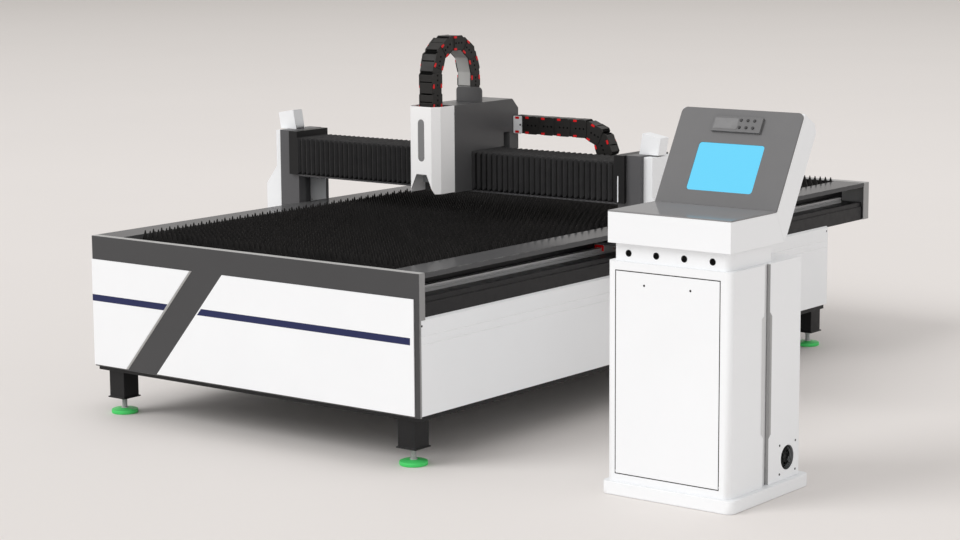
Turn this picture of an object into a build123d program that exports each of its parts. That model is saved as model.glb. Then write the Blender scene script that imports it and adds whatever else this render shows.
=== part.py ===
from build123d import *
import math
import os

# CNC plasma cutting table with a travelling gantry and a separate control console.
# Millimetres. Working frame: x = 0 on the table's centre line, y = 0 on the grey front face,
# z = 0 on the floor. The finished pieces are shifted so the origin is under the middle of all.

# Fits and general sheet sizes
CUT_OVERRUN = 20.0
SLIDE_CLEARANCE = 0.3
RUNNING_CLEARANCE = 0.05
SHEET = 3.0

# Small pins and holes are many-sided prisms, so that the whole machine stays light to mesh
ROUND_SIDES = 20

# Table: white cabinet under a bed that overhangs at the far end
TABLE_WIDTH = 2060.0
TABLE_LENGTH = 4065.0
TABLE_TOP = 883.0
BED_OVERHANG = 465.0
RIM_HEIGHT = 210.0
PANEL_HEIGHT = 430.0
PANEL_THICKNESS = 12.0
PANEL_BEVEL = 10.0
FOLD_UPPER_DROP = 72.0
FOLD_LOWER_DROP = 109.0
FOLD_WIDTH = 5.0
FOLD_DEPTH = 2.0

# Front fascia, its two white panels and the far end plate
FASCIA_DEPTH = 41.0
FASCIA_WALL = 6.0
FASCIA_PLATE = 12.0
FASCIA_SKIRT = 7.0
FASCIA_BAR_HEIGHT = 115.0
FRONT_PANEL_THICKNESS = 6.0
FRONT_PANEL_END_GAP = 30.0
BAND_INSET = 666.0
BAND_TOP_WIDTH = 209.0
BAND_SLANT = 446.0
END_PLATE_DEPTH = 59.0
END_PLATE_WALL = 6.0

# Side beams, top flanges, rails and racks
BEAM_FACE_INSET = 10.0
BEAM_INNER_INSET = 160.0
BEAM_WALL = 20.0
BEAM_LEDGE_DROP = 111.0
BEAM_LIP_HEIGHT = 25.0
BEAM_LIP_INSET = 6.0
FLANGE_WIDTH = 175.0
FLANGE_SHEET = 6.0
FLANGE_OUTER_LIP = 24.0
FLANGE_INNER_LIP = 43.0
RAIL_INSET = 110.0
RAIL_WIDTH = 30.0
RAIL_HEIGHT = 31.0
RAIL_GROOVE = 5.0
RAIL_END_GAP = 90.0
RACK_INSET = 60.0
RACK_WIDTH = 30.0
RACK_HEIGHT = 25.0

# Frame, legs and levelling feet
TUBE = 60.0
FRAME_DROP = 25.0
FRAME_INSET = 14.0
TRAY_DROP = 113.0
LEG_SIZE = 100.0
LEG_BOTTOM = 86.0
LEG_INSET_X = 110.0
LEG_FRONT_Y = 83.0
LEG_REAR_INSET = 17.0
BASE_PLATE = 114.0
BASE_PLATE_THICKNESS = 7.0
STUD_RADIUS = 10.0
NUT_ACROSS_FLATS = 30.0
NUT_HEIGHT = 12.0
PAD_RADIUS = 65.0
PAD_HEIGHT = 25.0

# Slat bed
SLAT_COUNT = 25
SLAT_TEETH = 14
SLAT_THICKNESS = 4.0
SLAT_TIP_RISE = 22.0
SLAT_HEIGHT = 125.0
TOOTH_DEPTH = 42.0
SLAT_END_GAP = 7.0
BED_FRONT_GAP = 30.0
SUPPORT_LEG = 34.0
SUPPORT_SHEET = 5.0
CENTRE_SUPPORT_WIDTH = 12.0
CENTRE_SUPPORT_HEIGHT = 70.0
TRAY_SHEET = 4.0
TRAY_DEPTH = 150.0
TRAY_SIDE_GAP = 40.0

# Gantry end posts, outside the table's sides
POST_FOOT_GAP = 7.0
POST_FOOT_WIDTH = 131.0
POST_HEAD_WIDTH = 82.0
POST_FRONT_Y = 1522.0
POST_DEPTH = 240.0
POST_SHOULDER_RISE = 153.0
POST_HEAD_HEIGHT = 232.0
POST_FOOT_DROP = 133.0
POST_COLUMN = 53.0
POST_WEB = 12.0
POST_REAR_FLANGE = 17.0
POST_POCKET_TOP_GAP = 12.0
TRUCK_PLATE = 12.0
TRUCK_LENGTH = 240.0
TRUCK_DROP = 33.0
ARM_THICKNESS = 12.0

# Guide blocks, drives and pinions of the long axis
BLOCK_LENGTH = 80.0
BLOCK_WIDTH = 56.0
BLOCK_SKIRT_GAP = 12.0
BLOCK_CAP = 15.0
PINION_RADIUS = 24.0
PINION_TEETH = 14
PINION_TOOTH_DEPTH = 5.0
TOOTH_SHARES = (0.1, 0.35, 0.65, 0.9)
PINION_WIDTH = 28.0
SHAFT_RADIUS = 10.0
SHAFT_HOLE_GAP = 2.0
SHAFT_SEAT = 26.0
GEARBOX_SIZE = 80.0
GEARBOX_LENGTH = 61.0
MOTOR_SIZE = 86.0
MOTOR_LENGTH = 170.0
MOTOR_CHAMFER = 12.0
MOTOR_WINDOW_GAP = 4.0

# White covers and leaning hoods at the gantry ends
COVER_SET_BACK = 25.0
COVER_DEPTH = 190.0
COVER_TOP_DROP = 6.0
COVER_WIDTH = 52.0
COVER_FLARE = 75.0
COVER_FLARE_DROP = 196.0
COVER_FLARE_HEIGHT = 98.0
COVER_FOOT_DROP = 30.0
HOOD_INSET = 27.0
HOOD_WIDTH = 109.0
HOOD_HEIGHT = 104.0
HOOD_LEAN_DEGREES = 10.0
HOOD_FRONT_GAP = 68.0
HOOD_DEPTH = 70.0

# Cross beam, its rails, rack and bellows
BEAM_SET_BACK = 63.0
BEAM_DEPTH = 130.0
BEAM_RISE = 24.0
BEAM_HEIGHT = 136.0
BEAM_TUBE_WALL = 8.0
CROSS_RAIL_WIDTH = 20.0
CROSS_RAIL_DEPTH = 18.0
CROSS_RAIL_RISE = 32.0
CROSS_RAIL_PITCH = 72.0
CROSS_RAIL_END_GAP = 66.0
CROSS_RACK_DEPTH = 25.0
CROSS_RACK_HEIGHT = 18.0
CROSS_RACK_REAR_GAP = 15.0
BELLOWS_LEAD = 21.0
BELLOWS_DEPTH = 249.0
BELLOWS_HEIGHT = 199.0
BELLOWS_PLEAT = 11.0
BELLOWS_WALL = 4.0
BELLOWS_PITCH = 34.0
FRAME_LENGTH = 58.0
FRAME_WALL = 20.0
STRIP_DEPTH = 20.0
STRIP_HEIGHT = 10.0

# Carriage
CARRIAGE_X = 60.0
CARRIAGE_WIDTH = 194.0
SADDLE_GAP = 1.0
SADDLE_LEG_DEPTH = 136.0
SADDLE_NOTCH_GAP = 21.0
SADDLE_NOTCH_WIDTH = 51.0
SADDLE_NOTCH_RISE = 71.0
SADDLE_REAR_LEG_DEPTH = 75.0
SADDLE_REAR_LEG_DROP = 23.0
SADDLE_HEAD_HEIGHT = 240.0
SADDLE_CHAMFER = 50.0
SADDLE_WALL = 4.0
CARRIAGE_PLATE = 18.0
CARRIAGE_SIDE_GAP = 8.0
CROSS_BLOCK_LENGTH = 60.0
CROSS_BLOCK_WIDTH = 44.0
CROSS_BLOCK_SKIRT_GAP = 8.0
CARRIAGE_SHELF = 13.0
CROSS_PINION_RADIUS = 22.0
CROSS_PINION_WIDTH = 15.0
CROSS_SHAFT_RADIUS = 8.0
CROSS_GEARBOX_SIZE = 70.0
CROSS_GEARBOX_LENGTH = 60.0
CROSS_MOTOR_LENGTH = 120.0
ANCHOR_LEFT_GAP = 34.0
ANCHOR_SET_BACK = 217.5
ANCHOR_DEPTH = 12.0
ANCHOR_HEIGHT = 75.0
ANCHOR_ROUND = 20.0

# Torch head and its lift
TORCH_DEPTH = 148.0
TORCH_CHAMFER_X = 32.0
TORCH_CHAMFER_Y = 36.0
TORCH_LIFT_GAP = 4.0
TORCH_GAP = 1.0
TORCH_SLOT_WIDTH = 40.0
TORCH_SLOT_RISE = 161.0
TORCH_SLOT_HEIGHT = 211.0
TORCH_SLOT_DEPTH = 1.5
MOUTH_TOP_WIDTH = 64.0
MOUTH_HEIGHT = 96.0
MOUTH_FLARE_SHARE = 0.45
TORCH_SET_BACK = 84.0
TORCH_RADIUS = 15.0
TORCH_TIP_RISE = 6.0
TORCH_SHIELD_RADIUS = 11.0
TORCH_TIP_RADIUS = 6.0
TORCH_TIP_HEIGHT = 16.0
TORCH_SHIELD_HEIGHT = 30.0
TORCH_BODY_HEIGHT = 230.0
TORCH_CLAMP_HEIGHT = 40.0
LIFT_PLATE = 10.0
LIFT_PLATE_RISE = 40.0
LIFT_PLATE_HEIGHT = 350.0
SCREW_SET_BACK = 66.0
SCREW_RADIUS = 8.0
SCREW_LUG = 16.0
SCREW_LUG_RISE = 24.0
SCREW_SPAN = 310.0
LUG_WIDTH = 60.0
LUG_BACK = 14.0
NUT_BLOCK_HEIGHT = 40.0
NUT_BLOCK_WIDTH = 36.0
NUT_RISE = 160.0
NUT_SLOT_GAP = 4.0
LIFT_DOWN = 110.0
LIFT_UP = 60.0
LIFT_MOTOR_SIZE = 56.0
LIFT_MOTOR_HEIGHT = 76.0

# Drag chains: an arch over the carriage and a run along the beam
ARCH_LEFT_GAP = 32.0
ARCH_WIDTH = 90.0
ARCH_THICKNESS = 75.0
ARCH_SET_BACK = 68.0
ARCH_RISE = 155.0
ARCH_LINKS = 8
RUN_GAP = 88.0
RUN_WIDTH = 70.0
RUN_RISE = 28.0
RUN_THICKNESS = 92.0
RUN_BEND_RADIUS = 125.0
RUN_UPPER_LENGTH = 437.0
RUN_LOWER_LENGTH = 543.0
RUN_BEND_LINKS = 7
RUN_LINK = 80.0
LINK_WALL = 7.0
LINK_WAIST = 4.0
BRACKET_LENGTH = 49.0
BRACKET_SHEET = 4.0
CHANNEL_ROOM = 6.0
CHANNEL_SHEET = 5.0
CHANNEL_LIP = 28.0
CHANNEL_END_INSET = 48.0
CHANNEL_ARM = 40.0

# Console cabinet on its plinth
CONSOLE_GAP = 1176.0
PLINTH_WIDTH = 650.0
PLINTH_FRONT_Y = 160.0
PLINTH_DEPTH = 637.0
PLINTH_HEIGHT = 57.0
PLINTH_ROUND = 34.0
CONSOLE_WIDTH = 607.0
CONSOLE_RIGHT_REACH = 300.0
CONSOLE_SET_BACK = 20.0
CONSOLE_TOP = 1000.0
CONSOLE_ROUND = 28.0
FRONT_SECTION_DEPTH = 264.0
SEAM_WIDTH = 47.0
SEAM_INSET = 16.0
REAR_SECTION_DEPTH = 252.0
GRIP_DEPTH = 20.0
GRIP_HEAD_GAP = 215.0
GRIP_HEIGHT = 513.0
GRIP_CUT = 10.0
DOOR_LEFT_REACH = 261.0
DOOR_WIDTH = 508.0
DOOR_RISE = 37.0
DOOR_HEAD_GAP = 40.0
DOOR_GAP = 4.0
DOOR_DEPTH = 15.0
HINGE_PIN_RADIUS = 4.0
HINGE_PIN_LENGTH = 12.0
HINGE_INSET_Y = 6.0
HINGE_INSET_Z = 8.0
HINGE_BOSS = 16.0
DOOR_HOLE_RADIUS = 5.0
DOOR_HOLE_DROP = 52.0
DOOR_HOLE_SPACING = 227.0
VENT_RADIUS = 53.0
VENT_REAR_GAP = 95.0
VENT_RISE = 92.0

# Console neck, desk and leaning head
NECK_WIDTH = 562.0
NECK_RIGHT_INSET = 22.0
NECK_SET_BACK = 16.0
NECK_DEPTH = 334.0
NECK_HEIGHT = 79.0
NECK_ROUND = 25.0
NECK_HOLE_RADIUS = 14.0
NECK_HOLE_PITCH = 137.0
NECK_HOLE_COUNT = 4
NECK_HOLE_RISE = 35.0
DESK_LEFT_REACH = 289.0
DESK_WIDTH = 599.0
DESK_DEPTH = 354.0
DESK_HEIGHT = 136.0
DESK_PLATE = 6.0
DESK_BACK_LEAN = 66.0
SCREEN_TILT_DEGREES = 29.3
HEAD_HEIGHT = 446.0
HEAD_THICKNESS = 134.0
HEAD_CHAMFER = 30.0
HEAD_TAIL = 46.0
FACE_PLATE = 6.0
FACE_ROUND = 26.0
SCREEN_LEFT_REACH = 154.0
SCREEN_WIDTH = 322.0
SCREEN_BOTTOM = 66.0
SCREEN_HEIGHT = 221.0
SCREEN_ROUND = 14.0
SCREEN_INSET = 1.0
SCREEN_GAP = 0.5
KEY_BOX_LEFT_REACH = 110.0
KEY_BOX_WIDTH = 240.0
KEY_BOX_BOTTOM = 338.0
KEY_BOX_HEIGHT = 70.0
KEY_BOX_DEPTH = 12.0
KEY_COLUMNS = 3
KEY_ROWS = 2
KEY_FIRST_OFFSET = 26.0
KEY_FIRST_RISE = 21.0
KEY_PITCH = 33.0
KEY_RADIUS = 6.5
KEY_LENGTH = 10.0
KEY_PROUD = 4.0
KEY_FLOOR = 2.5

# Worked-out places on the table
HALF_TABLE = TABLE_WIDTH / 2
CABINET_LENGTH = TABLE_LENGTH - BED_OVERHANG
PANEL_TOP = TABLE_TOP - RIM_HEIGHT
PANEL_BOTTOM = PANEL_TOP - PANEL_HEIGHT
FASCIA_BOTTOM = PANEL_BOTTOM - FASCIA_SKIRT
FASCIA_BAR_BOTTOM = TABLE_TOP - FASCIA_BAR_HEIGHT
BEAM_END_Y = TABLE_LENGTH - END_PLATE_DEPTH
BEAM_FACE_X = HALF_TABLE - BEAM_FACE_INSET
BEAM_INNER_X = HALF_TABLE - BEAM_INNER_INSET
BEAM_LEDGE_Z = TABLE_TOP - BEAM_LEDGE_DROP
FLANGE_INNER_X = HALF_TABLE - FLANGE_WIDTH
FLANGE_UNDER_Z = TABLE_TOP - FLANGE_SHEET
RAIL_X = HALF_TABLE - RAIL_INSET
RAIL_TOP_Z = BEAM_LEDGE_Z + RAIL_HEIGHT
RACK_X = HALF_TABLE - RACK_INSET
RACK_BOTTOM_Z = FLANGE_UNDER_Z - RACK_HEIGHT
FRAME_BOTTOM = PANEL_BOTTOM - FRAME_DROP
TRAY_RAIL_TOP = PANEL_TOP - TRAY_DROP
SLAT_TIP_Z = TABLE_TOP + SLAT_TIP_RISE
SLAT_BOTTOM_Z = SLAT_TIP_Z - SLAT_HEIGHT

# Worked-out places on the gantry
POST_FOOT_INNER_X = HALF_TABLE + POST_FOOT_GAP
POST_OUTER_X = POST_FOOT_INNER_X + POST_FOOT_WIDTH
POST_INNER_X = POST_OUTER_X - POST_HEAD_WIDTH
POST_REAR_Y = POST_FRONT_Y + POST_DEPTH
POST_MIDDLE_Y = POST_FRONT_Y + POST_DEPTH / 2
POST_SHOULDER = TABLE_TOP + POST_SHOULDER_RISE
POST_TOP = POST_SHOULDER + POST_HEAD_HEIGHT
POST_BOTTOM = TABLE_TOP - POST_FOOT_DROP
TRUCK_TOP = TABLE_TOP - TRUCK_DROP
PINION_Z = RACK_BOTTOM_Z - PINION_RADIUS - SLIDE_CLEARANCE
BLOCK_TOP_Z = RAIL_TOP_Z + BLOCK_CAP
COVER_TOP = POST_TOP - COVER_TOP_DROP
COVER_UPPER_X = POST_OUTER_X + COVER_WIDTH
COVER_OUTER_X = COVER_UPPER_X + COVER_FLARE
COVER_FLARE_TOP = COVER_TOP - COVER_FLARE_DROP
COVER_FLARE_BOTTOM = COVER_FLARE_TOP - COVER_FLARE_HEIGHT
COVER_BOTTOM = POST_BOTTOM - COVER_FOOT_DROP
HOOD_INNER_X = POST_INNER_X + HOOD_INSET
BEAM_FRONT_Y = POST_FRONT_Y + BEAM_SET_BACK
BEAM_BOTTOM_Z = POST_SHOULDER + BEAM_RISE
BEAM_TOP_Z = BEAM_BOTTOM_Z + BEAM_HEIGHT
CROSS_RAIL_FRONT_Y = BEAM_FRONT_Y - CROSS_RAIL_DEPTH
CROSS_RAIL_LOW_Z = BEAM_BOTTOM_Z + CROSS_RAIL_RISE
CROSS_RAIL_HIGH_Z = CROSS_RAIL_LOW_Z + CROSS_RAIL_PITCH
CROSS_RACK_FRONT_Y = BEAM_FRONT_Y + BEAM_DEPTH - CROSS_RACK_REAR_GAP - CROSS_RACK_DEPTH
BELLOWS_FRONT_Y = POST_FRONT_Y - BELLOWS_LEAD
BELLOWS_REAR_Y = BELLOWS_FRONT_Y + BELLOWS_DEPTH
BELLOWS_BOTTOM_Z = POST_SHOULDER
BELLOWS_TOP_Z = BELLOWS_BOTTOM_Z + BELLOWS_HEIGHT
FRAME_X = POST_INNER_X - FRAME_LENGTH

# Worked-out places on the carriage and the torch head
CARRIAGE_LEFT_X = CARRIAGE_X - CARRIAGE_WIDTH / 2
CARRIAGE_RIGHT_X = CARRIAGE_X + CARRIAGE_WIDTH / 2
CARRIAGE_PLATE_FRONT_Y = CROSS_RAIL_FRONT_Y - 2 * CARRIAGE_PLATE
CROSS_PINION_Y = CROSS_RACK_FRONT_Y - CROSS_PINION_RADIUS - SLIDE_CLEARANCE
SADDLE_LEG_REAR_Y = BELLOWS_FRONT_Y - SADDLE_GAP
SADDLE_FRONT_Y = SADDLE_LEG_REAR_Y - SADDLE_LEG_DEPTH
SADDLE_LEG_BOTTOM = BELLOWS_BOTTOM_Z
SADDLE_ARCH_Z = BELLOWS_TOP_Z
SADDLE_NOTCH_Y = BELLOWS_REAR_Y + SADDLE_NOTCH_GAP
SADDLE_NOTCH_Z = SADDLE_ARCH_Z + SADDLE_NOTCH_RISE
SADDLE_REAR_LEG_Y = SADDLE_NOTCH_Y + SADDLE_NOTCH_WIDTH
SADDLE_REAR_Y = SADDLE_REAR_LEG_Y + SADDLE_REAR_LEG_DEPTH
SADDLE_REAR_LEG_BOTTOM = SADDLE_ARCH_Z - SADDLE_REAR_LEG_DROP
SADDLE_TOP = SADDLE_ARCH_Z + SADDLE_HEAD_HEIGHT
ANCHOR_FRONT_Y = SADDLE_FRONT_Y + ANCHOR_SET_BACK
TORCH_FRONT_Y = SADDLE_FRONT_Y - TORCH_DEPTH
TORCH_BOTTOM = SADDLE_LEG_BOTTOM + TORCH_LIFT_GAP
TORCH_SLOT_BOTTOM = TORCH_BOTTOM + TORCH_SLOT_RISE
TORCH_SLOT_TOP = TORCH_SLOT_BOTTOM + TORCH_SLOT_HEIGHT
MOUTH_TOP_Z = TORCH_BOTTOM + MOUTH_HEIGHT
TORCH_Y = TORCH_FRONT_Y + TORCH_SET_BACK
TORCH_TIP_Z = TORCH_BOTTOM + TORCH_TIP_RISE
LIFT_PLATE_Y = SADDLE_FRONT_Y - LIFT_PLATE - CARRIAGE_SIDE_GAP
LIFT_PLATE_BOTTOM = TORCH_BOTTOM + LIFT_PLATE_RISE
LIFT_PLATE_TOP = LIFT_PLATE_BOTTOM + LIFT_PLATE_HEIGHT
SCREW_Y = SADDLE_FRONT_Y + SCREW_SET_BACK
SCREW_LUG_BOTTOM = SADDLE_LEG_BOTTOM + SCREW_LUG_RISE
SCREW_LUG_TOP = SCREW_LUG_BOTTOM + SCREW_SPAN
NUT_Z = TORCH_BOTTOM + NUT_RISE
ARCH_LEFT_X = CARRIAGE_LEFT_X + ARCH_LEFT_GAP
ARCH_FRONT_Y = TORCH_FRONT_Y + ARCH_SET_BACK
ARCH_SPAN = ANCHOR_FRONT_Y + ANCHOR_DEPTH - ARCH_FRONT_Y
ARCH_LEG_TOP = SADDLE_TOP + ARCH_RISE
RUN_FRONT_Y = POST_REAR_Y + RUN_GAP
RUN_BOTTOM_Z = POST_TOP + RUN_RISE
RUN_START_X = CARRIAGE_RIGHT_X + BRACKET_LENGTH
RUN_BEND_X = RUN_START_X + RUN_UPPER_LENGTH
RUN_FIXED_X = RUN_BEND_X - RUN_LOWER_LENGTH
CHANNEL_END_X = POST_OUTER_X - CHANNEL_END_INSET

# Worked-out places on the console
CONSOLE_X = HALF_TABLE + CONSOLE_GAP
CONSOLE_RIGHT_X = CONSOLE_X + CONSOLE_RIGHT_REACH
CONSOLE_LEFT_X = CONSOLE_RIGHT_X - CONSOLE_WIDTH
CONSOLE_FRONT_Y = PLINTH_FRONT_Y + CONSOLE_SET_BACK
SEAM_Y = CONSOLE_FRONT_Y + FRONT_SECTION_DEPTH
REAR_SECTION_Y = SEAM_Y + SEAM_WIDTH
REAR_SECTION_END_Y = REAR_SECTION_Y + REAR_SECTION_DEPTH
GRIP_TOP = CONSOLE_TOP - GRIP_HEAD_GAP
GRIP_BOTTOM = GRIP_TOP - GRIP_HEIGHT
DOOR_LEFT_X = CONSOLE_X - DOOR_LEFT_REACH
DOOR_BOTTOM = PLINTH_HEIGHT + DOOR_RISE
DOOR_HEIGHT = CONSOLE_TOP - DOOR_HEAD_GAP - DOOR_BOTTOM
VENT_Z = PLINTH_HEIGHT + VENT_RISE
NECK_RIGHT_X = CONSOLE_RIGHT_X - NECK_RIGHT_INSET
NECK_LEFT_X = NECK_RIGHT_X - NECK_WIDTH
NECK_FRONT_Y = CONSOLE_FRONT_Y + NECK_SET_BACK
NECK_HOLE_Z = CONSOLE_TOP + NECK_HOLE_RISE
DESK_LEFT_X = CONSOLE_X - DESK_LEFT_REACH
DESK_FRONT_Y = PLINTH_FRONT_Y
DESK_REAR_Y = DESK_FRONT_Y + DESK_DEPTH
DESK_BOTTOM = CONSOLE_TOP + NECK_HEIGHT
DESK_TOP = DESK_BOTTOM + DESK_HEIGHT
SCREEN_LEFT_X = CONSOLE_X - SCREEN_LEFT_REACH
KEY_BOX_LEFT_X = CONSOLE_X - KEY_BOX_LEFT_REACH
KEY_FIRST_X = CONSOLE_X + KEY_FIRST_OFFSET
KEY_FIRST_HEIGHT = KEY_BOX_BOTTOM + KEY_FIRST_RISE
SCREEN_TILT = math.radians(SCREEN_TILT_DEGREES)

# The middle of everything on the floor becomes the origin
SHIFT_X = -(CONSOLE_X + PLINTH_WIDTH / 2 - COVER_OUTER_X) / 2
SHIFT_Y = -(TABLE_LENGTH - FRONT_PANEL_THICKNESS) / 2


def box(x0, x1, y0, y1, z0, z1):
    size = Box(x1 - x0, y1 - y0, z1 - z0)
    return Pos((x0 + x1) / 2, (y0 + y1) / 2, (z0 + z1) / 2) * size


def prism(points, direction, length):
    return extrude(Face(Wire.make_polygon(points, close=True)), amount=length, dir=direction)


def prism_x(points, x0, x1):
    return prism([(x0, y, z) for y, z in points], (1, 0, 0), x1 - x0)


def prism_y(points, y0, y1):
    return prism([(x, y0, z) for x, z in points], (0, 1, 0), y1 - y0)


def prism_z(points, z0, z1):
    return prism([(x, y, z0) for x, y in points], (0, 0, 1), z1 - z0)


def rod(start, direction, radius, length):
    return Plane(origin=start, z_dir=direction) * Cylinder(
        radius, length, align=(Align.CENTER, Align.CENTER, Align.MIN)
    )


def pin(radius, length):
    return extrude(RegularPolygon(radius, ROUND_SIDES), amount=length)


def hole(radius, length):
    return extrude(RegularPolygon(radius, ROUND_SIDES, major_radius=False), amount=length)


def pin_at(start, direction, radius, length):
    return Plane(origin=start, z_dir=direction) * pin(radius, length)


def hole_at(start, direction, radius, length):
    return Plane(origin=start, z_dir=direction) * hole(radius, length)


def left_copy(shape):
    return mirror(shape, Plane.YZ)


def save(name, *shapes):
    solids = [solid for shape in shapes for solid in shape.solids()]
    moved = [Pos(SHIFT_X, SHIFT_Y, 0) * solid for solid in solids]
    node = moved[0] if len(moved) == 1 else Compound(children=moved)
    export_step(node, os.path.join("parts", name + ".step"))


def save_pair(name, right):
    save(name + "_right", right)
    save(name + "_left", left_copy(right))


# Table frame: lower ring, uprights and tray rails, and the four legs with their base plates
def leg_places():
    x = HALF_TABLE - LEG_INSET_X
    return [(side * x, y) for side in (-1, 1) for y in (LEG_FRONT_Y, CABINET_LENGTH - LEG_REAR_INSET)]


def table_frame():
    outer_x = HALF_TABLE - FRAME_INSET
    inner_x = outer_x - TUBE
    front = FASCIA_PLATE
    rear = CABINET_LENGTH - PANEL_THICKNESS
    ring_top = FRAME_BOTTOM + TUBE
    tubes = [box(side, side + TUBE, front, rear, FRAME_BOTTOM, ring_top) for side in (-outer_x, inner_x)]
    for y in (front, (front + rear - TUBE) / 2, rear - TUBE):
        tubes.append(box(-inner_x, inner_x, y, y + TUBE, FRAME_BOTTOM, ring_top))
        tubes.append(box(-inner_x, inner_x, y, y + TUBE, TRAY_RAIL_TOP - TUBE, TRAY_RAIL_TOP))
        for side in (-outer_x, inner_x):
            tubes.append(box(side, side + TUBE, y, y + TUBE, ring_top, PANEL_TOP))
    return tubes


def table_legs():
    legs = []
    half = LEG_SIZE / 2
    plate = BASE_PLATE / 2
    for x, y in leg_places():
        leg = box(x - half, x + half, y - half, y + half, LEG_BOTTOM, FRAME_BOTTOM)
        base = box(x - plate, x + plate, y - plate, y + plate, LEG_BOTTOM - BASE_PLATE_THICKNESS, LEG_BOTTOM)
        legs.append(leg + base)
    return legs


def feet():
    studs = []
    pads = []
    plate_z = LEG_BOTTOM - BASE_PLATE_THICKNESS
    for x, y in leg_places():
        pads.append(rod((x, y, 0), (0, 0, 1), PAD_RADIUS, PAD_HEIGHT))
        stud = Pos(x, y, PAD_HEIGHT) * pin(STUD_RADIUS, plate_z - PAD_HEIGHT)
        nut = RegularPolygon(NUT_ACROSS_FLATS / 2, 6, major_radius=False)
        stud += Pos(x, y, plate_z - NUT_HEIGHT) * extrude(nut, amount=NUT_HEIGHT)
        studs.append(stud)
    return studs, pads


# Front fascia: folded grey bar with a thin lower plate, and the white panels either side of the band
def front_fascia():
    fascia = box(-HALF_TABLE, HALF_TABLE, 0, FASCIA_DEPTH, PANEL_TOP, TABLE_TOP)
    fascia -= box(
        FASCIA_WALL - HALF_TABLE, HALF_TABLE - FASCIA_WALL, FASCIA_WALL, FASCIA_DEPTH + CUT_OVERRUN,
        PANEL_TOP + FASCIA_WALL, TABLE_TOP - FASCIA_WALL,
    )
    return fascia + box(-HALF_TABLE, HALF_TABLE, 0, FASCIA_PLATE, FASCIA_BOTTOM, PANEL_TOP)


def front_panels():
    top = FASCIA_BAR_BOTTOM
    band_left = BAND_INSET - HALF_TABLE
    band_right = band_left + BAND_TOP_WIDTH
    left = [
        (-HALF_TABLE, top), (band_left, top), (band_left - BAND_SLANT, PANEL_BOTTOM), (-HALF_TABLE, PANEL_BOTTOM),
    ]
    end = HALF_TABLE - FRONT_PANEL_END_GAP
    right = [(band_right, top), (end, top), (end, PANEL_BOTTOM), (band_right - BAND_SLANT, PANEL_BOTTOM)]
    return [prism_y(points, -FRONT_PANEL_THICKNESS, 0) for points in (left, right)]


def rear_end_plate():
    plate = box(-HALF_TABLE, HALF_TABLE, BEAM_END_Y, TABLE_LENGTH, PANEL_TOP, TABLE_TOP)
    return plate - box(
        END_PLATE_WALL - HALF_TABLE, HALF_TABLE - END_PLATE_WALL, BEAM_END_Y - CUT_OVERRUN,
        TABLE_LENGTH - END_PLATE_WALL, PANEL_TOP + END_PLATE_WALL, TABLE_TOP - END_PLATE_WALL,
    )


def side_panel():
    outer = HALF_TABLE
    inner = HALF_TABLE - PANEL_THICKNESS
    profile = [(inner, PANEL_BOTTOM), (outer, PANEL_BOTTOM)]
    for z in (PANEL_TOP - FOLD_LOWER_DROP, PANEL_TOP - FOLD_UPPER_DROP):
        profile += [(outer, z - FOLD_WIDTH / 2), (outer - FOLD_DEPTH, z), (outer, z + FOLD_WIDTH / 2)]
    profile += [(outer, PANEL_TOP), (outer - PANEL_BEVEL, PANEL_TOP + PANEL_BEVEL), (inner, PANEL_TOP + PANEL_BEVEL)]
    panel = prism_y(profile, FASCIA_PLATE, CABINET_LENGTH)
    panel -= box(0, outer - PANEL_BEVEL, 0, CABINET_LENGTH, PANEL_TOP, PANEL_TOP + TUBE)
    return panel - box(0, outer, 0, FASCIA_DEPTH, PANEL_TOP, PANEL_TOP + TUBE)


def rear_panel():
    x = HALF_TABLE - PANEL_THICKNESS
    return box(-x, x, CABINET_LENGTH - PANEL_THICKNESS, CABINET_LENGTH, PANEL_BOTTOM, PANEL_TOP)


# Side beam with the ledge that carries the long rail, and the folded flange on top of it
def side_beam():
    wall_x = BEAM_INNER_X + BEAM_WALL
    lip_z = BEAM_LEDGE_Z - BEAM_LIP_HEIGHT
    lip_x = BEAM_FACE_X - BEAM_LIP_INSET
    profile = [
        (BEAM_INNER_X, PANEL_TOP), (BEAM_FACE_X, PANEL_TOP), (BEAM_FACE_X, lip_z), (lip_x, lip_z),
        (lip_x, BEAM_LEDGE_Z), (wall_x, BEAM_LEDGE_Z), (wall_x, FLANGE_UNDER_Z), (BEAM_INNER_X, FLANGE_UNDER_Z),
    ]
    beam = prism_y(profile, FASCIA_DEPTH, BEAM_END_Y)
    return beam - box(
        BEAM_INNER_X + BEAM_TUBE_WALL, lip_x - BEAM_TUBE_WALL, FASCIA_DEPTH, BEAM_END_Y,
        PANEL_TOP + BEAM_TUBE_WALL, BEAM_LEDGE_Z - BEAM_TUBE_WALL,
    )


def top_flange():
    sheet = FLANGE_SHEET
    inner_lip = box(
        FLANGE_INNER_X, FLANGE_INNER_X + sheet, FASCIA_DEPTH, BEAM_END_Y, TABLE_TOP - FLANGE_INNER_LIP, FLANGE_UNDER_Z
    )
    outer_lip = box(
        HALF_TABLE - sheet, HALF_TABLE, FASCIA_DEPTH, BEAM_END_Y, TABLE_TOP - FLANGE_OUTER_LIP, FLANGE_UNDER_Z
    )
    plate = box(FLANGE_INNER_X, HALF_TABLE, FASCIA_DEPTH, BEAM_END_Y, FLANGE_UNDER_Z, TABLE_TOP)
    return [inner_lip, outer_lip, plate]


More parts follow.
